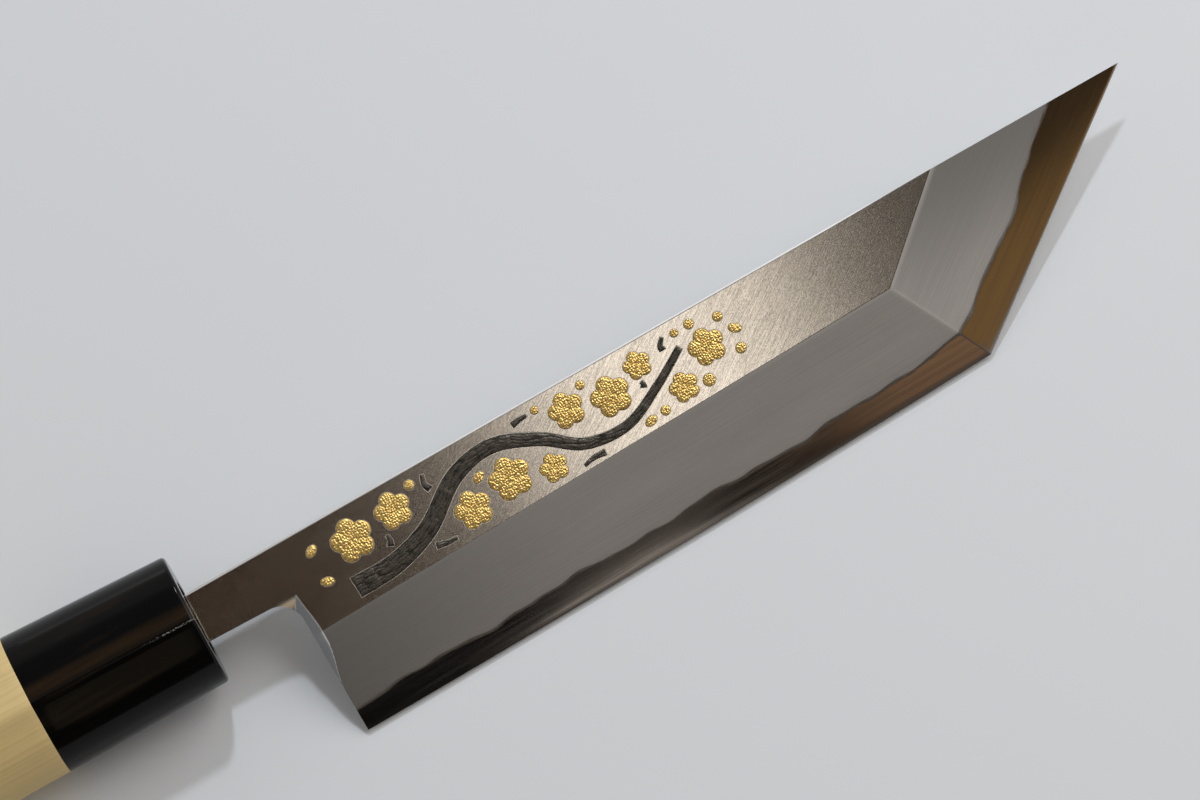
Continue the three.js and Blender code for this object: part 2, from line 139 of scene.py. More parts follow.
class KnifeInlaySettings(bpy.types.PropertyGroup):
    """Sizes and finishes of the ornament inlaid in the flat."""

    clearance: length("Clearance", 0.00015, "Gap around each inlay in its pocket")
    rim_rise: length("Rim rise", 0.0001, "Height of an inlay's rim above the flat")
    dome_rise: length("Dome rise", 0.0003, "Height of an inlay's dome above its rim")
    grain_size: length("Grain size", 0.00052, "Width of the grains of the gold")
    grain_rise: length("Grain rise", 0.00027, "Height of the grains of the gold")
    bark_rise: length("Bark rise", 0.0002, "Depth of the chiselled bark")
    petal_reach: share("Petal reach", 0.56, "Centre of a petal from the blossom's centre, in radii")
    gold_colour: colour("Gold", (0.9, 0.62, 0.21), "Colour of the gold")
    # Painted shade: the gold darkens to this colour between its grains and towards its rim.
    crevice_shade_colour: colour("Gold crevices", (0.3, 0.16, 0.04), "Colour of the gold between its grains")
    dark_colour: colour("Dark metal", (0.034, 0.03, 0.025), "Colour of the blackened metal")
    worn_colour: colour("Worn metal", (0.16, 0.14, 0.115), "Colour where the metal is rubbed bright")


class KnifeHandleSettings(bpy.types.PropertyGroup):
    """Sizes and finishes of the ferrule and the grip."""

    front_height: length("Front height", 0.0301, "Height of the handle's oval at the ferrule's front")
    front_thickness: length("Front thickness", 0.0256, "Thickness of the oval at the ferrule's front")
    joint_height: length("Joint height", 0.0323, "Height of the oval where the ferrule meets the wood")
    joint_thickness: length("Joint thickness", 0.0274, "Thickness of the oval there")
    butt_height: length("Butt height", 0.0334, "Height of the oval at the butt")
    butt_thickness: length("Butt thickness", 0.0284, "Thickness of the oval at the butt")
    grip_swell: length("Grip swell", 0.0009, "How much the grip swells between its ends")
    ridge_rise: length("Ridge rise", 0.0012, "Ridge of the chestnut section above its oval")
    ridge_round: length("Ridge rounding", 0.0016, "From the ridge to where its rounding starts")
    front_round: length("Front rounding", 0.0009, "Rounding of the ferrule's front")
    joint_round: length("Joint rounding", 0.00012, "Rounding of both pieces where they meet")
    butt_round: length("Butt rounding", 0.0022, "Rounding of the butt")
    bore: length("Bore", 0.0179, "Diameter of the ferrule's bore")
    tenon: length("Tenon", 0.0175, "Diameter of the grip's tenon")
    tenon_recess: length("Tenon recess", 0.001, "Tenon's end below the ferrule's front face")
    slot_clearance: length("Slot clearance", 0.0003, "Gap around the tang in the grip")
    horn_colour: colour("Horn", (0.0019, 0.0017, 0.0016), "Colour of the dark horn")
    # The streaks' colour is also that of the painted reflection in a broad band above the ridge.
    streak_and_reflection_colour: colour("Horn streaks", (0.026, 0.0145, 0.006), "Colour of the brown streaks in the horn")
    # Painted glints: the colour of pale specks on the horn's ridge near the front, where it catches light.
    ridge_glint_colour: colour("Horn chips", (0.3, 0.3, 0.28), "Colour of the small chips on the ridge of the horn")
    wood_colour: colour("Wood", (0.76, 0.57, 0.26), "Colour of the pale wood")
    grain_colour: colour("Wood grain", (0.58, 0.4, 0.165), "Colour of the wood's grain lines")


class KnifeStageSettings(bpy.types.PropertyGroup):
    """Floor, light and camera."""

    edge_rest: length("Edge rest", 0.0012, "Height of the cutting edge's ends above the floor")
    floor_size: length("Floor size", 6.0, "Width of the floor")
    floor_colour: colour("Floor", (0.785, 0.8, 0.825), "Colour of the floor")
    key_colour: colour("Key light", (0.83, 0.92, 1.0), "Colour of the key light")
    key_distance: length("Key distance", 2.0, "Distance of the key light from the origin")
    key_size: length("Key size", 0.16, "Diameter of the key light")
    key_power: bpy.props.FloatProperty(
        name="Key power", description="Power of the key light", default=10.5, min=0.0, unit="POWER"
    )
    fill_colour: colour("Fill light", (1.0, 0.97, 0.93), "Colour of the wide fill light")
    fill_distance: length("Fill distance", 1.6, "Distance of the fill light from the origin")
    fill_size: length("Fill size", 1.2, "Diameter of the fill light")
    fill_power: bpy.props.FloatProperty(
        name="Fill power", description="Power of the wide fill light", default=9.6, min=0.0, unit="POWER"
    )
    camera_distance: length("Camera distance", 1.5, "Distance from the camera to the blade's flat")
    camera_lens: bpy.props.FloatProperty(
        name="Lens", description="Focal length in millimetres", default=210.15, min=1.0, unit="CAMERA"
    )
    camera_turn: angle("Camera turn", 28.19, "How far the blade's axis is turned up from the picture's level")


def unit(v):
    """A vector's direction."""
    return v / np.linalg.norm(v)


def left_of(a, b):
    """The direction to the left of the way from a to b in the plan."""
    return unit(np.array([a[1] - b[1], b[0] - a[0]]))


def crossing(a, b, c, d):
    """Where the line through a and b crosses the line through c and d in the plan."""
    across = left_of(c, d)
    return a + (b - a) * ((c - a) @ across) / ((b - a) @ across)


def evenly(a, b, count):
    """Points at even steps from a to b, both included."""
    return a + (b - a) * np.linspace(0.0, 1.0, count)[:, None]


def smooth(x, low, high):
    """Nothing below low, one above high, with an S-curve between."""
    t = np.clip((x - low) / (high - low), 0.0, 1.0)
    return t * t * (3.0 - 2.0 * t)


def soft_min(a, b, blend):
    """The lower of two heights, with a parabola where they differ by less than the blend."""
    near = np.clip(blend - np.abs(a - b), 0.0, None)
    return np.minimum(a, b) - near * near / (4.0 * blend)


def scatter(x, y, seed):
    """A repeatable number from 0 to 1 for each pair of whole numbers: the fraction of a large sine."""
    step_x, step_y, step_seed = SCATTER_STEPS
    wave = np.sin(x * step_x + y * step_y + seed * step_seed)
    return np.modf(np.abs(wave * SCATTER_SPREAD))[0]


def grains(x, y, size, seed):
    """Rounded nuggets from 0 to 1: one less the squared distance to the nearest point of a shaken lattice, in
    shares of that point's own size."""
    shake, fullness = 0.7, 0.62
    reach = np.array([-1.0, 0.0, 1.0])
    cell_x = np.floor(x / size)[..., None] + np.repeat(reach, 3)
    cell_y = np.floor(y / size)[..., None] + np.tile(reach, 3)
    middle_x = cell_x + 0.5 + shake * (scatter(cell_x, cell_y, seed) - 0.5)
    middle_y = cell_y + 0.5 + shake * (scatter(cell_x, cell_y, seed + 1.0) - 0.5)
    weight = 0.75 + 0.5 * scatter(cell_x, cell_y, seed + 2.0)
    away = ((x / size)[..., None] - middle_x) ** 2 + ((y / size)[..., None] - middle_y) ** 2
    return np.clip(1.0 - away / (fullness * weight), 0.0, 1.0).max(-1)


def ripple(x, seed):
    """An uneven wave between about -1 and 1: three sines of unrelated lengths."""
    first = np.sin(x + seed)
    second = np.sin(2.3 * x + 1.7 * seed)
    third = np.sin(4.1 * x + 2.9 * seed)
    return 0.5 * first + 0.3 * second + 0.2 * third


def node_corners(name):
    """The separate places of a CAD piece, and its triangles as numbers of those places."""
    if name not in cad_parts:
        raise RuntimeError("The frame has no piece named " + name)
    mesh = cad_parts[name].data
    mesh.calc_loop_triangles()
    flat = np.empty(3 * len(mesh.vertices), np.float32)
    mesh.vertices.foreach_get("co", flat)
    corners = np.empty(3 * len(mesh.loop_triangles), np.int32)
    mesh.loop_triangles.foreach_get("vertices", corners)
    keys = np.round(flat.reshape(-1, 3).astype(float), PLACE_DECIMALS)
    places, number = np.unique(keys, axis=0, return_inverse=True)
    return places, number.reshape(-1)[corners].reshape(-1, 3)


def node_points(name):
    """The separate places of a CAD piece."""
    return node_corners(name)[0]


def upper_points(places):
    """The places at the top of a piece, in the plan."""
    return places[places[:, 2] > places[:, 2].max() - LEVEL_SLACK][:, :2]


def farthest(points, way):
    """The point of a set that lies farthest in a direction of the plan, in the plan."""
    return points[np.argmax(points[:, :2] @ np.array(way))][:2]


def fresh_object(name, data):
    """A new object in the scene, in place of an old one of that name."""
    old = bpy.data.objects.get(name)
    if old is not None:
        bpy.data.objects.remove(old)
    item = bpy.data.objects.new(name, data)
    bpy.context.scene.collection.objects.link(item)
    return item


def show(name, mesh, materials, nodes):
    """Puts a mesh in the scene in place of CAD pieces, on the knife's one body."""
    for material in materials:
        mesh.materials.append(material)
    piece = fresh_object(name, mesh)
    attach(piece, "root")
    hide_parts(*nodes)


def point_values(mesh, name, values):
    """Stores one number for each point of a mesh, for its material to read."""
    store = mesh.attributes.new(name, "FLOAT", "POINT")
    store.data.foreach_set("value", np.asarray(values, np.float32).ravel())


def skin(rings, closed):
    """Points and faces of a skin over rings of points: round each ring, and from the last ring to the first
    if it is closed, or else over a middle point at both ends. A face at a middle point has it twice."""
    count, around = rings.shape[:2]
    points = rings.reshape(-1, 3)
    step = np.arange(around)
    after = (step + 1) % around
    rows = np.arange(count if closed else count - 1)[:, None] * around
    above = (rows + around) % (count * around)
    quads = np.stack([rows + step, rows + after, above + after, above + step], -1).reshape(-1, 4)
    if closed:
        return points, quads
    low, high = len(points), len(points) + 1
    points = np.concatenate([points, rings[0].mean(0)[None], rings[-1].mean(0)[None]])
    last = (count - 1) * around
    first_fan = np.stack([step, np.full(around, low), np.full(around, low), after], -1)
    last_fan = np.stack([last + after, np.full(around, high), np.full(around, high), last + step], -1)
    return points, np.concatenate([quads, first_fan, last_fan])


def skin_mesh(name, rings, sharp, closed=False, values=None):
    """A mesh of a skin over rings, with its fans as triangles. Values are numbers per ring point."""
    points, faces = skin(rings, closed)
    mesh = bpy.data.meshes.new(name)
    triangles = np.concatenate([faces[:, [0, 1, 2]], faces[:, [0, 2, 3]]])
    a, b, c = points[triangles[:, 0]], points[triangles[:, 1]], points[triangles[:, 2]]
    if np.einsum("ij,ij->i", a, np.cross(b, c)).sum() < 0.0:
        faces = faces[:, ::-1]
    fans = faces[:, 1] == faces[:, 2]
    corners = faces[~fans].tolist() + faces[fans][:, [0, 1, 3]].tolist()
    mesh.from_pydata(points.tolist(), [], corners)
    mesh.validate()
    mesh.shade_smooth()
    mesh.set_sharp_from_angle(angle=sharp)
    if values is not None:
        ends = [] if closed else [values[0].mean(), values[-1].mean()]
        point_values(mesh, "relief", np.append(values.ravel(), ends))
    return mesh


class Finish:
    """A node tree being filled. Inputs of a node are plain values or sockets of other nodes."""

    def __init__(self, tree):
        self.tree = tree
        tree.nodes.clear()

    def add(self, kind, inputs, **settings):
        """Adds a node, sets it up and returns it."""
        node = self.tree.nodes.new(kind)
        for name, value in settings.items():
            setattr(node, name, value)
        for key, value in inputs.items():
            if isinstance(value, bpy.types.NodeSocket):
                self.tree.links.new(value, node.inputs[key])
            else:
                node.inputs[key].default_value = value
        return node

    def place(self):
        """The object's own coordinates."""
        return self.add("ShaderNodeTexCoord", {}).outputs["Object"]

    def value(self, name):
        """A number stored on the mesh."""
        return self.add("ShaderNodeAttribute", {}, attribute_name=name).outputs["Fac"]

    def noise(self, turn, along, across, detail=2.0, roughness=0.5):
        """Noise from 0 to 1 in streaks of a length and a width, which lie at an angle about Z."""
        inputs = {"Vector": self.place(), "Angle": -turn}
        turned = self.add("ShaderNodeVectorRotate", inputs, rotation_type="Z_AXIS").outputs[0]
        scale = (1.0 / along, 1.0 / across, 1.0 / across)
        counted = self.add("ShaderNodeVectorMath", {0: turned, 1: scale}, operation="MULTIPLY").outputs[0]
        inputs = {"Vector": counted, "Scale": 1.0, "Detail": detail, "Roughness": roughness}
        return self.add("ShaderNodeTexNoise", inputs).outputs["Fac"]

    def ranged(self, value, low, high, to_low, to_high, curve="LINEAR"):
        """A value moved from one range to another, and held at its ends."""
        inputs = {"Value": value, "From Min": low, "From Max": high, "To Min": to_low, "To Max": to_high}
        return self.add("ShaderNodeMapRange", inputs, interpolation_type=curve).outputs["Result"]

    def eased(self, value, low, high, to_low, to_high):
        """The same along an S-curve."""
        return self.ranged(value, low, high, to_low, to_high, "SMOOTHSTEP")

    def spread(self, noise, to_low, to_high):
        """A noise moved to a range, from where most of its values lie."""
        return self.ranged(noise, *NOISE_SPAN, to_low, to_high)

    def mixed(self, factor, first, second):
        """One colour mixed into another."""
        node = self.add("ShaderNodeMix", {}, data_type="RGBA")
        sockets = [s for s in node.inputs if s.enabled]
        for socket, value in zip(sockets, (factor, first, second)):
            if isinstance(value, bpy.types.NodeSocket):
                self.tree.links.new(value, socket)
            elif isinstance(value, float):
                socket.default_value = value
            else:
                socket.default_value = (*value, 1.0)
        return next(s for s in node.outputs if s.enabled)

    def math(self, operation, first, second):
        """Arithmetic on two numbers."""
        return self.add("ShaderNodeMath", {0: first, 1: second}, operation=operation).outputs[0]

    def apart(self, value, middle):
        """How far a number is from another."""
        return self.math("ABSOLUTE", self.math("SUBTRACT", value, middle), 0.0)

    def blend(self, first, second, share):
        """Two numbers mixed, with a share of the second."""
        kept = self.math("MULTIPLY", first, 1.0 - share)
        return self.math("ADD", kept, self.math("MULTIPLY", second, share))

    def rays(self):
        """Whether a ray is the camera's, and whether it comes from a mirror or through glass."""
        path = self.add("ShaderNodeLightPath", {}).outputs
        mirrored = self.math("MAXIMUM", path["Is Glossy Ray"], path["Is Transmission Ray"])
        return path["Is Camera Ray"], mirrored

    def bump(self, height, depth):
        """A normal tilted by a height from 0 to 1 over a depth."""
        inputs = {"Height": height, "Distance": depth, "Strength": 1.0}
        return self.add("ShaderNodeBump", inputs).outputs[0]

    def surface(self, inputs):
        """The surface shader and the output."""
        shader = self.add("ShaderNodeBsdfPrincipled", inputs)
        self.add("ShaderNodeOutputMaterial", {"Surface": shader.outputs[0]})


def new_finish(name):
    """An empty material and its tree."""
    old = bpy.data.materials.get(name)
    if old is not None:
        bpy.data.materials.remove(old)
    material = bpy.data.materials.new(name)
    material.use_nodes = True
    return material, Finish(material.node_tree)


def shaded(tint, share):
    """A colour made darker or lighter by a share, at most to white."""
    return tuple(min(1.0, share * c) for c in tint)


def flat_finish(settings):
    """Satin iron: a polish with fine scratches of two lengths at a slant, and specks among them."""
    material, nodes = new_finish("Flat polish")
    slant = settings.scratch_angle
    fan = 0.14
    long_marks = nodes.noise(slant, along=0.006, across=0.00016, detail=3.0)
    short_marks = nodes.noise(slant + fan, along=0.0016, across=0.0001)
    marks = nodes.blend(long_marks, short_marks, 0.4)
    specks = nodes.noise(slant, along=0.0003, across=0.00018)
    tone = nodes.blend(marks, specks, 0.5)
    clouds = nodes.noise(slant, along=0.02, across=0.008)
    dull = shaded(settings.iron_colour, 0.55)
    nodes.surface({
        "Base Color": nodes.mixed(nodes.ranged(tone, 0.42, 0.6, 0.0, 1.0), settings.iron_colour, dull),
        "Metallic": 1.0,
        "Roughness": nodes.math("ADD", nodes.spread(marks, 0.05, 0.1), nodes.spread(clouds, 0.0, 0.01)),
        "Normal": nodes.bump(marks, depth=0.0000022),
    })
    return material


def haze_finish(name, settings, turn, axis, dull, clear):
    """Hazy iron: matte and brushed along the edge, paler along its ridges with a painted highlight, a little
    darker at the weld, and darker towards one end of an axis with a painted shade."""
    material, nodes = new_finish(name)
    weld_band = 0.0002
    ridge_band = 0.00024
    corner_core, corner_band = 0.00002, 0.00013
    ridge_highlight_low, ridge_highlight_high = 0.05, 0.11
    brushing = nodes.noise(turn, along=0.03, across=0.00022, detail=4.0, roughness=0.6)
    clouds = nodes.noise(turn, along=0.04, across=0.006, detail=3.0)
    at_weld = nodes.eased(nodes.value("over_weld"), 0.0, weld_band, 0.15, 0.0)
    place = nodes.add("ShaderNodeSeparateXYZ", {0: nodes.place()}).outputs
    # Painted highlight: the haze is made paler along the ridge under the flat, more so towards the point, and
    # along the ridge between the two bevels.
    ahead = nodes.eased(place["X"], ridge_highlight_low, ridge_highlight_high, 0.1, 0.5)
    under_flat = nodes.eased(nodes.value("under_flat"), 0.0, ridge_band, 1.0, 0.0)
    off_corner = nodes.apart(nodes.value("bevel_gap"), 0.0)
    corner_highlight = nodes.eased(off_corner, corner_core, corner_band, 0.3, 0.0)
    ridge_highlight_mask = nodes.math("MAXIMUM", nodes.math("MULTIPLY", under_flat, ahead), corner_highlight)
    dark = shaded(settings.haze_colour, 0.76)
    deep = shaded(settings.haze_colour, 0.4)
    pale = shaded(settings.haze_colour, 1.2)
    body = nodes.mixed(nodes.ranged(brushing, 0.3, 0.72, 0.0, 1.0), settings.haze_colour, dark)
    cloudy = nodes.mixed(nodes.ranged(clouds, 0.4, 0.7, 0.0, 0.25), body, pale)
    # Painted shade: the haze darkens towards one end of an axis. It is full at the first place given and gone
    # at the second.
    with_end_shade = nodes.mixed(nodes.eased(place[axis], dull, clear, 0.9, 0.0), cloudy, deep)
    nodes.surface({
        "Base Color": nodes.mixed(at_weld, nodes.mixed(ridge_highlight_mask, with_end_shade, pale), deep),
        "Metallic": 1.0,
        "Roughness": nodes.spread(brushing, 0.48, 0.58),
        "Normal": nodes.bump(brushing, depth=0.000006),
    })
    return material


def steel_finish(name, settings, turn):
    """Polished hard steel with fine brushing along its edge, cloudy and darker next to the weld."""
    material, nodes = new_finish(name)
    weld_band, weld_cloud = 0.00024, 0.00006
    brushing = nodes.noise(turn, along=0.02, across=0.00014, detail=3.0)
    bands = nodes.noise(turn, along=0.03, across=0.0009, detail=3.0)
    clouds = nodes.noise(turn, along=0.006, across=0.0012, detail=3.0)
    under = nodes.math("ADD", nodes.value("under_weld"), nodes.spread(clouds, -weld_cloud, weld_cloud))
    haze = nodes.eased(under, 0.0, weld_band, 1.0, 0.0)
    polish = nodes.math("ADD", nodes.spread(brushing, 0.03, 0.075), nodes.ranged(bands, 0.42, 0.7, 0.0, 0.04))
    dark = shaded(settings.steel_colour, 0.9)
    deep = shaded(settings.steel_colour, 0.4)
    banded = nodes.mixed(nodes.spread(bands, 0.0, 1.0), settings.steel_colour, dark)
    nodes.surface({
        "Base Color": nodes.mixed(nodes.math("MULTIPLY", haze, 0.4), banded, deep),
        "Metallic": 1.0,
        "Roughness": nodes.math("MAXIMUM", polish, nodes.math("MULTIPLY", haze, 0.34)),
        "Normal": nodes.bump(brushing, depth=0.0000008),
    })
    return material


def polish_finish(name, settings, turn, rough):
    """Bright polish with faint marks along one direction."""
    material, nodes = new_finish(name)
    marks = nodes.noise(turn, along=0.02, across=0.00012)
    nodes.surface({
        "Base Color": (*settings.polish_colour, 1.0),
        "Metallic": 1.0,
        "Roughness": nodes.spread(marks, rough, rough + 0.07),
        "Normal": nodes.bump(marks, depth=0.000001),
    })
    return material


def gold_finish(settings):
    """Grained gold, with painted shade that darkens it between the grains and towards the rim of each piece.
    """
    material, nodes = new_finish("Grained gold")
    specks = nodes.noise(0.0, along=0.00018, across=0.00018)
    tone = nodes.math("ADD", nodes.value("relief"), nodes.spread(specks, -0.2, 0.2))
    # Painted shade: where the relief is low, between the grains and near the rim, the colour goes to the
    # crevices' shade.
    raised = nodes.ranged(tone, 0.1, 0.75, 0.0, 1.0)
    nodes.surface({
        "Base Color": nodes.mixed(raised, settings.crevice_shade_colour, settings.gold_colour),
        "Metallic": 1.0,
        "Roughness": nodes.ranged(tone, 0.1, 0.9, 0.48, 0.27),
        "Normal": nodes.bump(specks, depth=0.00001),
    })
    return material


def dark_finish(settings):
    """Blackened metal, rubbed bright on its ridges."""
    material, nodes = new_finish("Blackened metal")
    specks = nodes.noise(0.0, along=0.0003, across=0.0003, detail=3.0)
    tone = nodes.math("ADD", nodes.value("relief"), nodes.spread(specks, -0.35, 0.35))
    rubbed = nodes.ranged(tone, 0.35, 1.0, 0.0, 1.0)
    nodes.surface({
        "Base Color": nodes.mixed(rubbed, settings.dark_colour, settings.worn_colour),
        "Metallic": 0.85,
        "Roughness": nodes.ranged(tone, 0.4, 1.1, 0.55, 0.36),
        "Normal": nodes.bump(specks, depth=0.000012),
    })
    return material


def horn_finish(settings, front, ridge):
    """Polished dark horn with brown streaks along it, a broad brown band above the ridge that is a painted
    reflection, fine wear in its roughness, and painted glints on the ridge near the front."""
    material, nodes = new_finish("Dark horn")
    reflection_lift, reflection_core, reflection_half = 2.4 * MM, 0.4 * MM, 2.4 * MM
    ridge_core, ridge_half = 0.05 * MM, 0.3 * MM
    glints_start, glints_full = front - 14.0 * MM, front - 3.0 * MM
    streaks = nodes.noise(0.06, along=0.03, across=0.0022, detail=3.0)
    marks = nodes.noise(-0.5, along=0.003, across=0.00012)
    specks = nodes.noise(0.0, along=0.00035, across=0.00035, detail=1.0)
    glint_noise = nodes.noise(0.0, along=0.0005, across=0.0003)
    worn = nodes.ranged(specks, 0.72, 0.8, 0.0, 0.25)
    place = nodes.add("ShaderNodeSeparateXYZ", {0: nodes.place()}).outputs
    # Painted reflection: a broad brown band above the ridge, broken up by the streaks.
    reflection_band = nodes.eased(nodes.apart(place["Y"], ridge + reflection_lift), reflection_core, reflection_half, 0.85, 0.0)
    uneven_reflection = nodes.math("MULTIPLY", reflection_band, nodes.ranged(streaks, 0.3, 0.6, 0.35, 1.0))
    streaks_and_reflection = nodes.math("MAXIMUM", uneven_reflection, nodes.eased(streaks, 0.52, 0.72, 0.0, 0.2))
    # Painted glints: pale specks on the ridge near the front, where it catches light.
    ridge_highlight_mask = nodes.eased(nodes.apart(place["Y"], ridge), ridge_core, ridge_half, 1.0, 0.0)
    near_front = nodes.eased(place["X"], glints_start, glints_full, 0.0, 1.0)
    ridge_glint_area = nodes.math("MULTIPLY", ridge_highlight_mask, near_front)
    painted_glints = nodes.math("MULTIPLY", ridge_glint_area, nodes.ranged(glint_noise, 0.5, 0.62, 0.0, 1.0))
    tone = nodes.mixed(streaks_and_reflection, settings.horn_colour, settings.streak_and_reflection_colour)
    nodes.surface({
        "Base Color": nodes.mixed(painted_glints, tone, settings.ridge_glint_colour),
        "Roughness": nodes.math("ADD", nodes.spread(marks, 0.1, 0.17), worn),
        "Specular IOR Level": 0.16,
        "Normal": nodes.bump(marks, depth=0.0000012),
    })
    return material


def wood_finish(settings):
    """Pale close-grained wood: fine lines along the handle, soft bands, and pores."""
    material, nodes = new_finish("Pale wood")
    slant = 0.012
    lines = nodes.noise(slant, along=0.05, across=0.0007, detail=4.0, roughness=0.6)
    bands = nodes.noise(slant, along=0.12, across=0.0045)
    pores = nodes.noise(slant, along=0.0035, across=0.00016)
    lined = nodes.ranged(lines, 0.42, 0.72, 0.0, 0.5)
    grain = nodes.mixed(lined, settings.wood_colour, settings.grain_colour)
    warm = shaded(settings.wood_colour, 0.86)
    banded = nodes.mixed(nodes.eased(bands, 0.42, 0.62, 0.0, 0.4), grain, warm)
    dark = shaded(settings.grain_colour, 0.62)
    nodes.surface({
        "Base Color": nodes.mixed(nodes.ranged(pores, 0.66, 0.8, 0.0, 0.3), banded, dark),
        "Roughness": nodes.spread(lines, 0.5, 0.62),
        "Specular IOR Level": 0.35,
        "Normal": nodes.bump(pores, depth=0.000016),
    })
    return material


SPINE_CLOSING = 25.0 * MM  # from the shoulder back to where the spine's chamfer starts to close
SPINE_STOP = MM  # from the shoulder back to where it has closed
FINE_BLEND = 0.00002  # height over which the steeper strip along an edge passes into the bevel
NECK_POWER = 1.2  # how the slope along the neck bends
HEEL_POWER = 1.25  # how the slope along the heel's face bends
HEEL_GROWS = (0.28, 0.66)  # shares of the heel's height between which that slope widens
HEEL_SHRINKS = (0.7, 1.06)  # shares between which it narrows again, to half
WELD_WAVE = 0.036  # length of the weld's waves
WELD_SEED = 1.1
# The steel's thickness changes round the edge's corner: places in millimetres past the corner, and shares of
# the way from its thickness at the heel to that shortly before the corner.
WELD_STOPS = (-22.0, -8.0, 14.0, 30.0)
WELD_CLIMB = (0.0, 1.0, 0.55, 1.6)
WELD_GAP = 0.05 * MM
BEVEL_SHADE_END = 50.0 * MM  # place along X past which the main bevel has no painted shade
POINT_SHADE_END = -12.0 * MM  # place along Y below which the point's bevel has no painted shade
CUT_SHOWS = 0.003 * MM  # depth of the notch's slopes from which they count as polished
FLAT_BLEND = 0.15  # height over which bevel and flat blend, in shares of the ridge rounding
CORNER_BLEND = 0.13  # the same for the two bevels
SPINE_BLEND = 0.6  # the same for the flat and the spine's chamfer
LEAST_RUN = 0.01  # least width of the point's bevel
SHARP_FORGED = math.radians(25.0)
NORMAL_STEP = 0.001 * MM
NORMAL_INSET = 0.008 * MM
WELD_TOLERANCE = 0.0002 * MM  # places nearer than this are joined in the blade's meshes
IRON_FLAT, IRON_BEVEL, IRON_POINT, IRON_POLISH = range(4)
STEEL_BEVEL, STEEL_POINT, STEEL_POLISH = range(3)


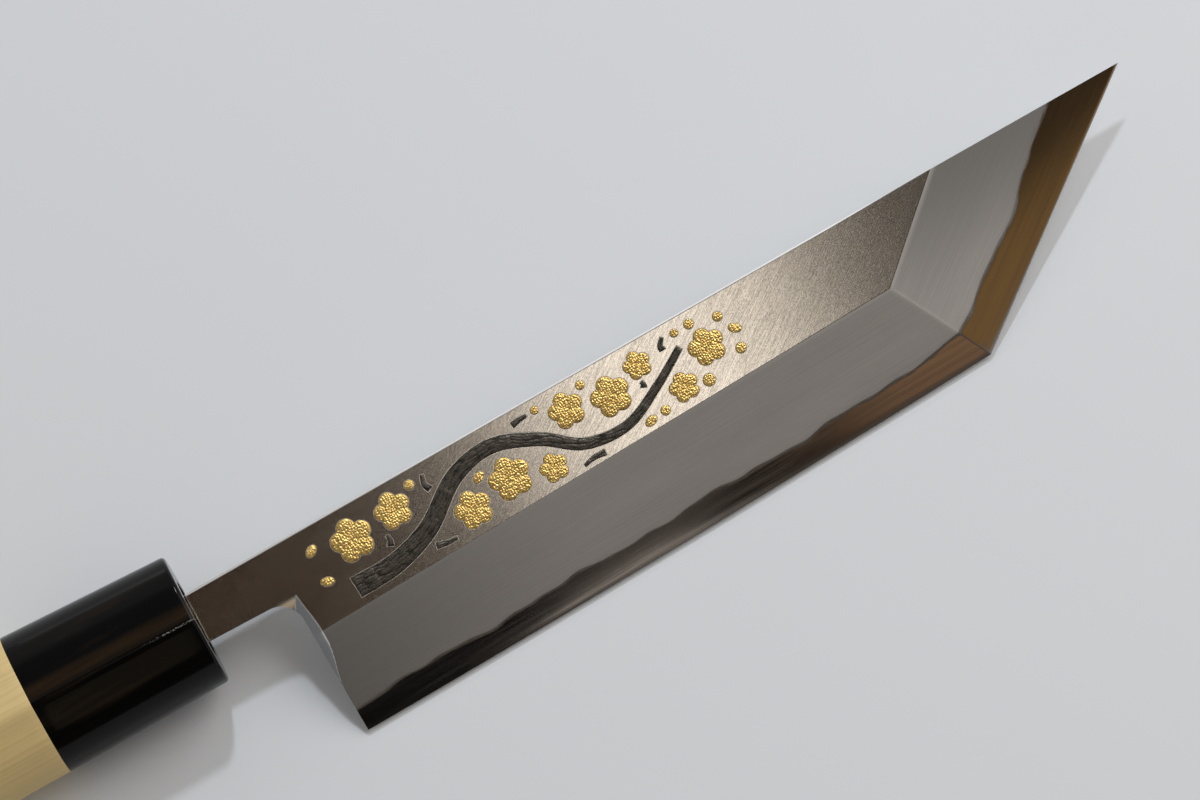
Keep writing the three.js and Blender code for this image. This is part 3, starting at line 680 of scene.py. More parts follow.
class BladeShape:
    """The blade's corners, read from the CAD pieces, and its faces as heights over the plan."""

    def __init__(self, settings):
        iron = node_points("blade_iron")
        steel = node_points("edge_steel")
        low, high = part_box("ferrule")
        self.settings = settings
        self.back = steel[:, 2].min()
        self.flat = iron[:, 2].max()
        self.front = high.x
        self.axis = (low.y + high.y) / 2.0
        self.ferrule_back = low.x
        self.heel = farthest(steel, (-0.2, -1.0))
        self.corner = farthest(steel, (0.3, -1.0))
        self.tip = farthest(steel, (1.0, 0.0))
        level = upper_points(iron)
        self.ridge_corner = farthest(level, (0.3, -1.0))
        self.shoulder_in = farthest(level, (1.0, 1.0))
        half = settings.neck_height / 2.0
        self.neck_top = np.array([self.front, self.axis + half])
        self.neck_low = np.array([self.front, self.axis - half])
        self.edge_in = left_of(self.heel, self.corner)
        self.point_in = left_of(self.corner, self.tip)
        self.spine_in = left_of(self.tip, self.neck_top)
        self.spine_way = unit(self.neck_top - self.tip)
        self.bevel_width = self.edge_in @ (self.ridge_corner - self.heel)
        self.shoulder = crossing(self.ridge_corner, self.shoulder_in, self.neck_top, self.tip)
        self.spine_close = self.shoulder + self.spine_way * SPINE_CLOSING
        self.spine_end = self.shoulder + self.spine_way * SPINE_STOP
        slant = settings.heel_slant
        self.forward = np.array([math.cos(slant), math.sin(slant)])
        self.up = np.array([-math.sin(slant), math.cos(slant)])

    def belly(self, along):
        """Bow of the edge at a length from the heel: a parabola over the edge."""
        way = along / np.linalg.norm(self.corner - self.heel)
        return self.settings.edge_belly * np.clip(4.0 * way * (1.0 - way), 0.0, None)

    def bevel(self, inset, run):
        """Height over the back at an inset from an edge: a steeper strip, then a slope up to the flat that
        swells a little, as a parabola."""
        s = self.settings
        crest = s.fine_edge * s.fine_edge_rise
        slope = (self.flat - self.back - crest) / (run - s.fine_edge)
        strip = inset * s.fine_edge_rise
        way = np.clip((inset - s.fine_edge) / (run - s.fine_edge), 0.0, 1.0)
        main = crest + slope * (inset - s.fine_edge) + 4.0 * s.bevel_swell * way * (1.0 - way)
        return self.back + soft_min(strip, main, FINE_BLEND)

    def edge_bevel(self, p):
        """Height of the main bevel."""
        d = p - self.heel
        belly = self.belly(d @ unit(self.corner - self.heel))
        return self.bevel(d @ self.edge_in + belly, self.bevel_width + belly)

    def point_bevel(self, p):
        """Height of the bevel up to the point, which widens towards the spine."""
        along = unit(self.tip - self.corner)
        a, b = self.ridge_corner - self.corner, self.shoulder_in - self.corner
        spread = ((b - a) @ self.point_in) / ((b - a) @ along)
        run = a @ self.point_in + ((p - self.corner) @ along - a @ along) * spread
        return self.bevel((p - self.corner) @ self.point_in, np.maximum(run, LEAST_RUN))

    def bevels(self, p):
        """Height of the lower of the two bevels."""
        return soft_min(self.edge_bevel(p), self.point_bevel(p), CORNER_BLEND * self.settings.ridge_round)

    def spine_chamfer(self, p):
        """Height of the spine's chamfer, which closes on the point's bevel and is lifted clear past that."""
        s = self.settings
        stops = [self.ferrule_back, self.spine_close[0], self.spine_end[0]]
        run = np.interp(p[..., 0], stops, [s.spine_chamfer_neck, s.spine_chamfer_point, 0.0])
        inset = (p - self.tip) @ self.spine_in
        level = np.minimum(self.bevels(p - inset[..., None] * self.spine_in), self.flat)
        return level + s.spine_slope * (inset - run) + np.where(p[..., 0] > self.spine_end[0], MM, 0.0)

    def notch_centre(self):
        """Middle of the fillet between the neck and the heel's face."""
        radius = self.settings.notch_radius
        low = self.neck_low[1] - radius
        rise = (low - self.heel[1] + radius * self.forward[1]) / self.forward[0]
        return np.array([self.heel[0] - radius * self.forward[0] - rise * self.forward[1], low])

    def notch_cut(self, p):
        """Depth of the polished slopes round the notch: the shallower of one along the neck and one along the
        heel's face, which meet in a valley between the fillet and a sharp corner."""
        return np.minimum(self.neck_cut(p), self.heel_cut(p))

    def neck_cut(self, p):
        """Depth of the slope along the neck: a power of the distance below the line of its upper edge."""
        s = self.settings
        start = np.array([self.notch_centre()[0] - s.scoop_start, self.neck_low[1]])
        line = start[1] + s.scoop_climb * (p[..., 0] - start[0])
        below = np.clip(line - p[..., 1], 0.0, None)
        return s.neck_slope * MM * (below / MM) ** NECK_POWER

    def heel_cut(self, p):
        """Depth of the slope along the heel's face: a power of the share of its width that is left. The width
        grows from nothing near the heel and shrinks again towards the neck."""
        s = self.settings
        ahead, above = (p - self.heel) @ self.forward, (p - self.heel) @ self.up
        top = self.neck_low[1] - self.heel[1]
        grown, shrunk = (smooth(above, low * top, high * top) for low, high in (HEEL_GROWS, HEEL_SHRINKS))
        widths = grown * (1.0 - 0.5 * shrunk)
        least_run, most_left = 0.0001 * MM, 8.0
        run = np.maximum(s.heel_chamfer * widths, least_run)
        left = np.clip(1.0 - ahead / run, 0.0, most_left)
        return s.heel_slope * run * left ** HEEL_POWER

    def tang_half(self, x):
        """Half the thickness of the tang, which tapers from the neck's."""
        s = self.settings
        end, start = self.front - s.tang_length, self.front - MM
        thick = (self.flat - self.back) / 2.0
        return thick + (x - start) / (end - start) * (s.tang_end_thickness / 2.0 - thick)

    def top(self, p):
        """Height of the upper surface: the lowest of the flat, the bevels and the spine's chamfer, less the
        notch's slopes, and at most the tang's face."""
        rounding = self.settings.ridge_round
        middle = (self.flat + self.back) / 2.0
        height = soft_min(self.bevels(p), self.flat, FLAT_BLEND * rounding)
        height = soft_min(height, self.spine_chamfer(p), SPINE_BLEND * rounding)
        height = np.maximum(height - self.notch_cut(p), self.back)
        return np.minimum(height, middle + self.tang_half(p[..., 0]))

    def rims(self, x):
        """Upper and lower rim of the hollow in the back."""
        s = self.settings
        upper = np.interp(x, [self.neck_top[0], self.tip[0]], [self.neck_top[1], self.tip[1]]) - s.hollow_rim
        edge = (self.corner - self.heel)[1] / (self.corner - self.heel)[0]
        point = (self.tip - self.corner)[1] / (self.tip - self.corner)[0]
        away = x - self.corner[0]
        over_edge = self.corner[1] + away * edge + s.hollow_edge_rim * math.hypot(1.0, edge)
        over_point = self.corner[1] + away * point + s.hollow_edge_rim * math.hypot(1.0, point)
        return upper, np.maximum(over_edge, over_point)

    def under(self, p):
        """Height of the back: flat rims, and a hollow as deep as an arc of the hollow's radius."""
        s = self.settings
        upper, lower = self.rims(p[..., 0])
        start = self.heel[0] + s.heel_chamfer
        fade = smooth(p[..., 0], start, start + s.hollow_run_out)
        depth = np.clip((p[..., 1] - lower) * (upper - p[..., 1]), 0.0, None) / (2.0 * s.hollow_radius)
        depth = np.where(upper > lower, depth, 0.0)
        tang = (self.flat + self.back) / 2.0 - self.tang_half(p[..., 0])
        return np.maximum(self.back + fade * depth, tang)

    def weld(self, p):
        """Height of the forge weld: it wavers, climbs round the corner and ends in a scarf under the neck."""
        s = self.settings
        x = p[..., 0] - self.front
        rise = np.interp(p[..., 0], self.corner[0] + MM * np.array(WELD_STOPS), WELD_CLIMB)
        steel = s.steel_at_heel + (s.steel_at_corner - s.steel_at_heel) * rise
        waver = ripple(2.0 * math.pi * x / WELD_WAVE, WELD_SEED)
        scarf = np.clip((x - s.scarf_start) / s.scarf_length, 0.0, 1.0)
        return self.back + (steel + s.weld_waver * waver) * scarf

    def iron_under(self, p):
        """Height of the iron's lower face: a hair above the weld, closing on it where the weld comes out."""
        over = self.top(p) - self.weld(p)
        scarf = smooth(p[..., 0], self.front + self.settings.scarf_start, self.heel[0])
        gap = np.minimum(WELD_GAP * scarf, np.maximum(over / 2.0, 0.0))
        tang = (self.flat + self.back) / 2.0 - self.tang_half(p[..., 0])
        return np.minimum(np.maximum(self.weld(p) + gap, tang), self.top(p))

    def steel_top(self, p):
        """Height of the steel's upper face: the weld, or the bevel where that is lower."""
        return np.maximum(np.minimum(self.weld(p), self.top(p)), self.under(p))

    def weld_points(self, starts, ends, over=0.0):
        """Where the bevels rise to a height over the weld, on lines from the edge inwards, by halving."""
        low = np.zeros(len(starts))
        high = np.ones(len(starts))
        halvings = 40
        for _ in range(halvings):
            middle = (low + high) / 2.0
            p = starts + (ends - starts) * middle[:, None]
            under = self.bevels(p) < self.weld(p) + over
            low = np.where(under, middle, low)
            high = np.where(under, high, middle)
        return starts + (ends - starts) * high[:, None]

    def edge(self, count):
        """The cutting edge from the heel to its corner."""
        chord = evenly(self.heel, self.corner, count)
        along = np.linalg.norm(chord - self.heel, axis=1)
        return chord - self.edge_in * self.belly(along)[:, None]

    def heel_ridge(self):
        """A place on the ridge line between bevel and flat, beside the heel's slope."""
        place = self.heel + self.up * self.bevel_width + self.forward * self.settings.heel_chamfer
        return place + self.edge_in * (self.bevel_width - self.edge_in @ (place - self.heel))

    def weld_line(self, over=0.0):
        """The line on the bevels at a height over the weld, from the heel's face to the spine."""
        on_heel = self.weld_points(self.heel[None], (self.heel + self.up * self.bevel_width)[None], over)
        edge_count, point_count = 181, 61
        ridge = evenly(self.heel_ridge(), self.ridge_corner, edge_count)
        main = self.weld_points(self.edge(edge_count), ridge, over)
        on_spine = self.weld_points(self.tip[None], self.shoulder[None], over)[0]
        along = unit(self.tip - self.corner)
        foot = self.corner + along * ((on_spine - self.corner) @ along)
        starts = evenly(self.corner, foot, point_count)
        point = self.weld_points(starts, evenly(self.ridge_corner, on_spine, point_count), over)
        return np.concatenate([on_heel, main, point[1:]])

    def notch(self):
        """The outline under the neck, round the fillet and down to the heel."""
        s = self.settings
        middle = self.notch_centre()
        turn = np.linspace(math.pi / 2.0, s.heel_slant, 33)
        arc = middle + s.notch_radius * np.stack([np.cos(turn), np.sin(turn)], -1)
        neck = evenly(np.array([self.front + s.scarf_start, self.neck_low[1]]), arc[0], 6)
        face = evenly(arc[-1], self.heel, 25)
        return np.concatenate([neck, arc[1:], face[1:]])

    def ridges(self):
        """Lines along every ridge and on both sides of it, to past the ends of its rounding."""
        s = self.settings
        start = np.array([self.ferrule_back, 0.0])
        climb = (self.tip - self.neck_top)[1] / (self.tip - self.neck_top)[0]
        start[1] = self.neck_top[1] + (start[0] - self.neck_top[0]) * climb - s.spine_chamfer_neck
        heel_ridge = self.heel_ridge()
        chamfer_end = self.spine_close + self.spine_in * s.spine_chamfer_point
        pairs = [
            (heel_ridge, self.ridge_corner),
            (self.ridge_corner, self.shoulder),
            (self.corner, self.ridge_corner),
            (start, chamfer_end),
            (chamfer_end, self.spine_end),
            (self.neck_low - [MM, MM], self.neck_top + [-MM, MM]),
            (self.corner + self.point_in * s.fine_edge, self.tip + self.point_in * s.fine_edge),
        ]
        beside = s.ridge_round * np.array([-1.0, -0.5, 0.0, 0.5, 1.0])
        fine = self.edge(41) + self.edge_in * s.fine_edge
        straight = [np.array([a, b]) + left_of(a, b) * away for a, b in pairs for away in beside]
        return straight + [fine + self.edge_in * away for away in beside]


def triangulate(polygons, lines, points):
    """Triangles that fill the polygons of a plan, with sides along the lines and corners at the points.
    Returns the corners' places, the triangles, and which polygons each triangle lies in."""
    sets = polygons + lines
    ends = np.cumsum([0] + [len(s) for s in sets])
    places = np.concatenate(sets + [points]) / MM
    faces = [list(range(a, b)) for a, b in zip(ends, ends[1:len(polygons) + 1])]
    spans = zip(ends[len(polygons):], ends[len(polygons) + 1:])
    edges = [(i, i + 1) for a, b in spans for i in range(a, b - 1)]
    only_inside, tolerance = 1, 1e-4
    result = delaunay_2d_cdt([Vector(p) for p in places], edges, faces, only_inside, tolerance)
    plan = np.array([tuple(p) for p in result[0]]) * MM
    triangles = np.array(result[2])
    inside = np.array([[k in owners for k in range(len(polygons))] for owners in result[5]])
    return plan, triangles, inside


def rim_of(triangles):
    """The sides that only one triangle of a set has, in that triangle's direction."""
    sides = np.concatenate([triangles[:, [0, 1]], triangles[:, [1, 2]], triangles[:, [2, 0]]])
    count = triangles.max() + 1
    key = sides[:, 0] * count + sides[:, 1]
    other = sides[:, 1] * count + sides[:, 0]
    return sides[~np.isin(key, other)]


def walls(plan, sides, high, low):
    """Upright triangles between two heights along the sides of a plan."""
    a, b = sides[:, 0], sides[:, 1]
    upper = np.column_stack([plan, high])
    lower = np.column_stack([plan, low])
    first = np.stack([upper[a], lower[a], lower[b]], 1)
    second = np.stack([upper[a], lower[b], upper[b]], 1)
    return np.concatenate([first, second])


def slope_normals(height, plan):
    """Directions square to a height over a plan, from its steepness both ways."""
    step = NORMAL_STEP
    along = (height(plan + [step, 0.0]) - height(plan - [step, 0.0])) / (2.0 * step)
    across = (height(plan + [0.0, step]) - height(plan - [0.0, step])) / (2.0 * step)
    normal = np.column_stack([-along, -across, np.ones(len(plan))])
    return normal / np.linalg.norm(normal, axis=1)[:, None]


def forged_mesh(name, sheets, upright):
    """A mesh of triangles from sheets and upright walls. Each sheet has triangles of places, a direction for
    each corner and a material number for each triangle; walls have triangles and one material number."""
    corners = np.concatenate([s[0] for s in sheets] + [u[0] for u in upright])
    blank = [np.full(u[0].shape, np.nan) for u in upright]
    directions = np.concatenate([s[1] for s in sheets] + blank)
    finishes = np.concatenate([s[2] for s in sheets] + [np.full(len(u[0]), u[1]) for u in upright])
    keys = np.round(corners.reshape(-1, 3) / WELD_TOLERANCE).astype(np.int64)
    _, first, number = np.unique(keys, axis=0, return_index=True, return_inverse=True)
    points = corners.reshape(-1, 3)[first]
    triangles = number.reshape(-1, 3)
    a, b, c = triangles.T
    real = (a != b) & (b != c) & (c != a)
    triangles, directions, finishes = triangles[real], directions[real], finishes[real]
    mesh = bpy.data.meshes.new(name)
    mesh.from_pydata(points.tolist(), [], triangles.tolist())
    mesh.polygons.foreach_set("material_index", finishes.astype(np.int32))
    mesh.shade_smooth()
    mesh.set_sharp_from_angle(angle=SHARP_FORGED)
    normals = np.empty(9 * len(triangles), np.float32)
    mesh.corner_normals.foreach_get("vector", normals)
    given = directions.reshape(-1, 3)
    normals = np.where(np.isnan(given), normals.reshape(-1, 3), given)
    mesh.normals_split_custom_set(normals.tolist())
    return mesh, points


def sheet(plan, triangles, height, numbers, upwards=True):
    """Triangles of a height over a plan, their corners' directions and material numbers. A corner's direction
    is taken a hair inside its triangle, so that it belongs to the face on that side of a crease or rim."""
    places = np.column_stack([plan, height(plan)])
    corners = plan[triangles]
    inwards = corners.mean(1, keepdims=True) - corners
    inwards = inwards / np.maximum(np.linalg.norm(inwards, axis=-1, keepdims=True), 1e-9)
    normals = slope_normals(height, (corners + NORMAL_INSET * inwards).reshape(-1, 2)).reshape(-1, 3, 3)
    if upwards:
        return places[triangles], normals, numbers
    return places[triangles][:, ::-1], -normals[:, ::-1], numbers


POCKET_SPACING = 0.6 * MM  # between the points of a pocket's long sides
BARK_SPACING = 0.12 * MM  # between the rings of a bough or twig
INLAY_RELIEF = 0.35 * MM  # top of a CAD inlay above the flat
INLAY_GAP = 0.02 * MM  # under an inlay in its pocket
LARGE_INLAY = 4.0 * MM  # sum of two radii from which an inlay of gold gets the finer rings
PETALS = 5
STAMENS = 15
SHARP_BARK = math.radians(50.0)
SHARP_GOLD = math.radians(60.0)


class Stroke:
    """A bough or twig: its two sides, read from the CAD piece, as a middle line and half widths."""

    def __init__(self, name, spacing):
        places, triangles = node_corners(name)
        level = places[:, 2].max()
        upper = triangles[(places[triangles][:, :, 2] > level - LEVEL_SLACK).all(1)]
        following = dict(rim_of(upper).tolist())
        order = [next(iter(following))]
        while following[order[-1]] != order[0]:
            order.append(following[order[-1]])
        loop = places[order][:, :2]
        before = loop - np.roll(loop, 1, 0)
        after = np.roll(loop, -1, 0) - loop
        turned = before[:, 0] * after[:, 1] - before[:, 1] * after[:, 0]
        bend = np.abs(np.arctan2(turned, (before * after).sum(1)))
        # The four sharpest bends are the corners of the two ends, so the loop is turned to start with a side.
        ends = np.sort(np.argsort(bend)[-4:])
        if ends[1] != ends[0] + 1:
            ends = np.roll(ends, -1)
        loop = np.roll(loop, -ends[1], 0)
        half = len(loop) // 2
        first, second = loop[:half], loop[half:][::-1]
        # The wider end comes first, and the half widths point to the right of the way from there.
        if np.linalg.norm(first[0] - second[0]) < np.linalg.norm(first[-1] - second[-1]):
            first, second = first[::-1], second[::-1]
        middle, side = (first + second) / 2.0, (first - second) / 2.0
        ahead = middle[1] - middle[0]
        if ahead[0] * side[0, 1] > ahead[1] * side[0, 0]:
            side = -side
        travel = np.append(0.0, np.cumsum(np.linalg.norm(np.diff(middle, axis=0), axis=1)))
        self.along = np.linspace(0.0, travel[-1], int(travel[-1] / spacing) + 2)
        self.middle = self.eased(travel, middle)
        self.side = self.eased(travel, side)

    def eased(self, travel, values):
        """Values at every station: cubic arcs through the CAD's points, with slopes from their neighbours."""
        slope = np.gradient(values, travel, axis=0)
        i = np.clip(np.searchsorted(travel, self.along, side="right") - 1, 0, len(travel) - 2)
        span = (travel[i + 1] - travel[i])[:, None]
        t = (self.along - travel[i])[:, None] / span
        square, cube = t ** 2, t ** 3
        start = values[i] * (2.0 * cube - 3.0 * square + 1.0) + slope[i] * span * (cube - 2.0 * square + t)
        end = values[i + 1] * (3.0 * square - 2.0 * cube) + slope[i + 1] * span * (cube - square)
        return start + end

    def outline(self, grow):
        """The stroke's outline, grown by a clearance all round."""
        wide = self.side * (1.0 + grow / np.linalg.norm(self.side, axis=1))[:, None]
        middle = self.middle.copy()
        middle[0] += grow * unit(self.middle[0] - self.middle[1])
        middle[-1] += grow * unit(self.middle[-1] - self.middle[-2])
        return np.concatenate([middle + wide, (middle - wide)[::-1]])


class Blossom:
    """A blossom of round petals: its place, radius and turn, read from the CAD piece."""

    def __init__(self, name, reach):
        upper = upper_points(node_points(name))
        self.middle = upper.mean(0)
        away = upper - self.middle
        size = np.linalg.norm(away, axis=1)
        facing = np.arctan2(away[:, 1], away[:, 0])
        self.radius = size.max()
        self.turn = np.angle((size * np.exp(1j * PETALS * facing)).sum()) / PETALS
        self.reach = reach * self.radius
        self.petal = self.radius - self.reach

    def off_axis(self, facing):
        """Angle from the nearest petal's axis."""
        turn = 2.0 * math.pi / PETALS
        return (facing - self.turn + turn / 2.0) % turn - turn / 2.0

    def rim(self, facing, grow=0.0):
        """Distance to the outline in each direction: the far side of the nearest petal's circle."""
        off = self.off_axis(facing)
        return self.reach * np.cos(off) + np.sqrt((self.petal + grow) ** 2 - (self.reach * np.sin(off)) ** 2)

    def outline(self, grow):
        """The outline, grown by a clearance."""
        facing = np.linspace(0.0, 2.0 * math.pi, 90, endpoint=False)
        way = np.stack([np.cos(facing), np.sin(facing)], -1)
        return self.middle + way * self.rim(facing, grow)[:, None]

    def dome(self, far, facing):
        """Height from 0 to 1.25: a dome on each petal with creases between, a raised heart and stamens."""
        off = self.off_axis(facing)
        from_petal = far ** 2 + self.reach ** 2 - 2.0 * far * self.reach * np.cos(off)
        domed = np.clip(1.0 - from_petal / self.petal ** 2, 0.0, 1.0) ** 0.6
        heart = np.exp(-(far / (0.2 * self.radius)) ** 2)
        ring = np.exp(-((far - 0.34 * self.radius) / (0.07 * self.radius)) ** 2)
        stamens = ring * np.clip(np.cos(STAMENS * (facing - self.turn)), 0.0, 1.0)
        return np.clip(0.85 * domed + 0.75 * heart + 0.35 * stamens, 0.0, 1.25)


class Oval:
    """A bud or fallen petal: its place, half lengths and turn, read from the CAD piece."""

    def __init__(self, name):
        upper = upper_points(node_points(name))
        self.middle = upper.mean(0)
        spread, ways = np.linalg.eigh(np.cov((upper - self.middle).T, bias=True))
        self.halves = np.sqrt(2.0 * spread[::-1])
        self.turn = math.atan2(ways[1, 1], ways[0, 1])

    def rim(self, facing, grow=0.0):
        """Distance to the outline in each direction."""
        a, b = self.halves + grow
        off = facing - self.turn
        return a * b / np.hypot(b * np.cos(off), a * np.sin(off))

    def outline(self, grow):
        """The outline, grown by a clearance."""
        facing = np.linspace(0.0, 2.0 * math.pi, 32, endpoint=False)
        way = np.stack([np.cos(facing), np.sin(facing)], -1)
        return self.middle + way * self.rim(facing, grow)[:, None]

    def dome(self, far, facing):
        """Height from 0 to 1: a round dome."""
        return np.sqrt(np.clip(1.0 - (far / self.rim(facing)) ** 2, 0.0, 1.0))


def inlay_order(name):
    """An inlay's kind and number, to sort by. One without a number has nought."""
    words = name.split("_")
    return words[0], int(words[-1]) if words[-1].isdigit() else 0


def inlay_names(*kinds):
    """The CAD's inlays of the given kinds, in order."""
    names = [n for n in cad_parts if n.split("_")[0] in kinds]
    if not names:
        raise RuntimeError("The frame has no inlays of these kinds: " + ", ".join(kinds))
    return sorted(names, key=inlay_order)


def inlay_outlines(settings):
    """The outlines of all pockets in the flat."""
    strokes = [Stroke(n, POCKET_SPACING).outline(settings.clearance) for n in inlay_names("bough", "twig")]
    blossoms = [Blossom(n, settings.petal_reach).outline(settings.clearance) for n in inlay_names("blossom")]
    ovals = [Oval(n).outline(settings.clearance) for n in inlay_names("bud", "fallen")]
    return strokes + blossoms + ovals


def blade_plan(shape, inlay_settings):
    """The blade's plan in triangles along each ridge, weld line and pocket, and what each one lies in."""
    s = shape.settings
    weld = shape.weld_line()
    notch = shape.notch()
    on_heel, on_spine = weld[0], weld[-1]
    spine_step, clear = 2.0 * MM, 0.1 * MM
    spine = evenly(shape.tip, shape.neck_top, int((shape.tip - shape.neck_top)[0] / spine_step))
    scarf_top = crossing(notch[0], notch[0] + [0.0, 1.0], shape.neck_top, shape.tip)
    iron_spine = spine[spine[:, 0] < on_spine[0] - clear]
    steel_spine = np.concatenate([spine[spine[:, 0] > scarf_top[0] + clear], scarf_top[None]])
    end = shape.front - s.tang_length
    tang = np.array([
        [end, shape.axis + s.tang_end_height / 2.0],
        [end, shape.axis - s.tang_end_height / 2.0],
        shape.neck_low,
    ])
    above = notch[(notch - shape.heel) @ shape.up > (on_heel - shape.heel) @ shape.up + clear / 2.0]
    iron = np.concatenate([weld, iron_spine, tang, above])
    edge = shape.edge(41)
    point = evenly(shape.corner, shape.tip, 25)
    steel = np.concatenate([notch, edge[1:], point[1:-1], steel_spine])
    start = s.heel_chamfer + shape.heel[0]
    hollow_stop, rim_stop, narrowest = 8.0 * MM, 9.0 * MM, 0.5 * MM
    x, y = np.meshgrid(np.linspace(start, shape.tip[0] - hollow_stop, 84), np.linspace(0.0, 1.0, 22))
    upper, lower = shape.rims(x)
    hollow = np.stack([x, lower + (upper - lower) * y], -1)[upper > lower + narrowest]
    rim_x = np.linspace(start, shape.tip[0] - rim_stop, 60)
    rims = [np.stack([rim_x, side], -1) for side in shape.rims(rim_x)]
    notch_x, notch_y = (-11.0 * MM, 4.0 * MM), (-24.0 * MM, 5.0 * MM)
    x, y = np.meshgrid(np.linspace(*notch_x, 61), np.linspace(*notch_y, 117))
    notch_grid = np.stack([x + shape.heel[0], y + shape.neck_low[1]], -1).reshape(-1, 2)
    points = np.concatenate([hollow, notch_grid])
    beside_weld = (-0.24, -0.12, -0.05, 0.05, 0.12)
    beside = [shape.weld_line(over * MM)[2:-1] for over in beside_weld]
    pockets = inlay_outlines(inlay_settings)
    return triangulate([iron, steel] + pockets, shape.ridges() + rims + beside, points)


def blade_numbers(shape, middle, flat, main, point, polish):
    """A material number for each place on the upper surface, by the face that is lowest there."""
    over = [np.full(len(middle), shape.flat), shape.edge_bevel(middle), shape.point_bevel(middle)]
    lowest = np.argmin(np.stack(over + [shape.spine_chamfer(middle)]), 0)
    numbers = np.array([flat, main, point, polish])[lowest]
    return np.where(shape.notch_cut(middle) > CUT_SHOWS, polish, numbers)


class KNIFE_OT_blade(bpy.types.Operator):
    """Build the blade: the iron body with its pockets, and the hard steel under it"""

    bl_idname = "knife.blade"
    bl_label = "Blade"
    bl_options = {"REGISTER", "UNDO"}

    def execute(self, context):
        settings = context.scene.knife_blade
        shape = BladeShape(settings)
        plan, triangles, inside = blade_plan(shape, context.scene.knife_inlay)
        in_iron, in_steel = inside[:, 0], inside[:, 1]
        in_pocket = inside[:, 2:].any(1)
        self.build_iron(shape, plan, triangles[in_iron], in_pocket[in_iron])
        self.build_steel(shape, plan, triangles[in_steel])
        return {"FINISHED"}

    def build_iron(self, shape, plan, triangles, in_pocket):
        """The iron: flat, hazy bevels, polished chamfers and spine, and pockets with level floors."""
        level = node_points("bough")[:, 2].min()

        def floor(p):
            return np.full(len(p), level)

        upper, pocket = triangles[~in_pocket], triangles[in_pocket]
        numbers = blade_numbers(
            shape, plan[upper].mean(1), IRON_FLAT, IRON_BEVEL, IRON_POINT, IRON_POLISH
        )
        sheets = [
            sheet(plan, upper, shape.top, numbers),
            sheet(plan, pocket, floor, np.full(len(pocket), IRON_POLISH)),
            sheet(plan, triangles, shape.iron_under, np.full(len(triangles), IRON_POLISH), False),
        ]
        around = rim_of(triangles)
        sides = rim_of(upper)
        count = len(plan)
        outer = np.isin(sides[:, 0] * count + sides[:, 1], around[:, 0] * count + around[:, 1])
        high = shape.top(plan)
        upright = [
            (walls(plan, sides[outer], high, shape.iron_under(plan)), IRON_POLISH),
            (walls(plan, sides[~outer], high, floor(plan)), IRON_POLISH),
        ]
        mesh, points = forged_mesh("iron_body", sheets, upright)
        plan = points[:, :2]
        point_values(mesh, "over_weld", points[:, 2] - shape.weld(plan))
        point_values(mesh, "under_flat", shape.flat - points[:, 2])
        point_values(mesh, "bevel_gap", shape.edge_bevel(plan) - shape.point_bevel(plan))
        settings = shape.settings
        along_edge, along_point = self.turn(shape.heel, shape.corner), self.turn(shape.corner, shape.tip)
        materials = [
            flat_finish(settings),
            haze_finish("Bevel haze", settings, along_edge, "X", shape.front, BEVEL_SHADE_END),
            haze_finish("Point haze", settings, along_point, "Y", shape.tip[1], POINT_SHADE_END),
            polish_finish("Chamfer polish", settings, self.turn(shape.neck_top, shape.tip), rough=0.12),
        ]
        show("iron_body", mesh, materials, ["blade_iron"])

    def build_steel(self, shape, plan, triangles):
        """The steel: polished bevels along both edges, and the hollow back."""
        numbers = blade_numbers(
            shape, plan[triangles].mean(1), STEEL_BEVEL, STEEL_BEVEL, STEEL_POINT, STEEL_POLISH
        )
        sheets = [
            sheet(plan, triangles, shape.steel_top, numbers),
            sheet(plan, triangles, shape.under, np.full(len(triangles), STEEL_POLISH), False),
        ]
        sides = walls(plan, rim_of(triangles), shape.steel_top(plan), shape.under(plan))
        mesh, points = forged_mesh("steel_layer", sheets, [(sides, STEEL_POLISH)])
        point_values(mesh, "under_weld", shape.weld(points[:, :2]) - points[:, 2])
        settings = shape.settings
        materials = [
            steel_finish("Edge polish", settings, self.turn(shape.heel, shape.corner)),
            steel_finish("Point polish", settings, self.turn(shape.corner, shape.tip)),
            polish_finish("Back polish", settings, self.turn(shape.heel, shape.corner), rough=0.16),
        ]
        show("steel_layer", mesh, materials, ["edge_steel"])

    @staticmethod
    def turn(a, b):
        """Direction from a to b as an angle in the plan."""
        return math.atan2(b[1] - a[1], b[0] - a[0])


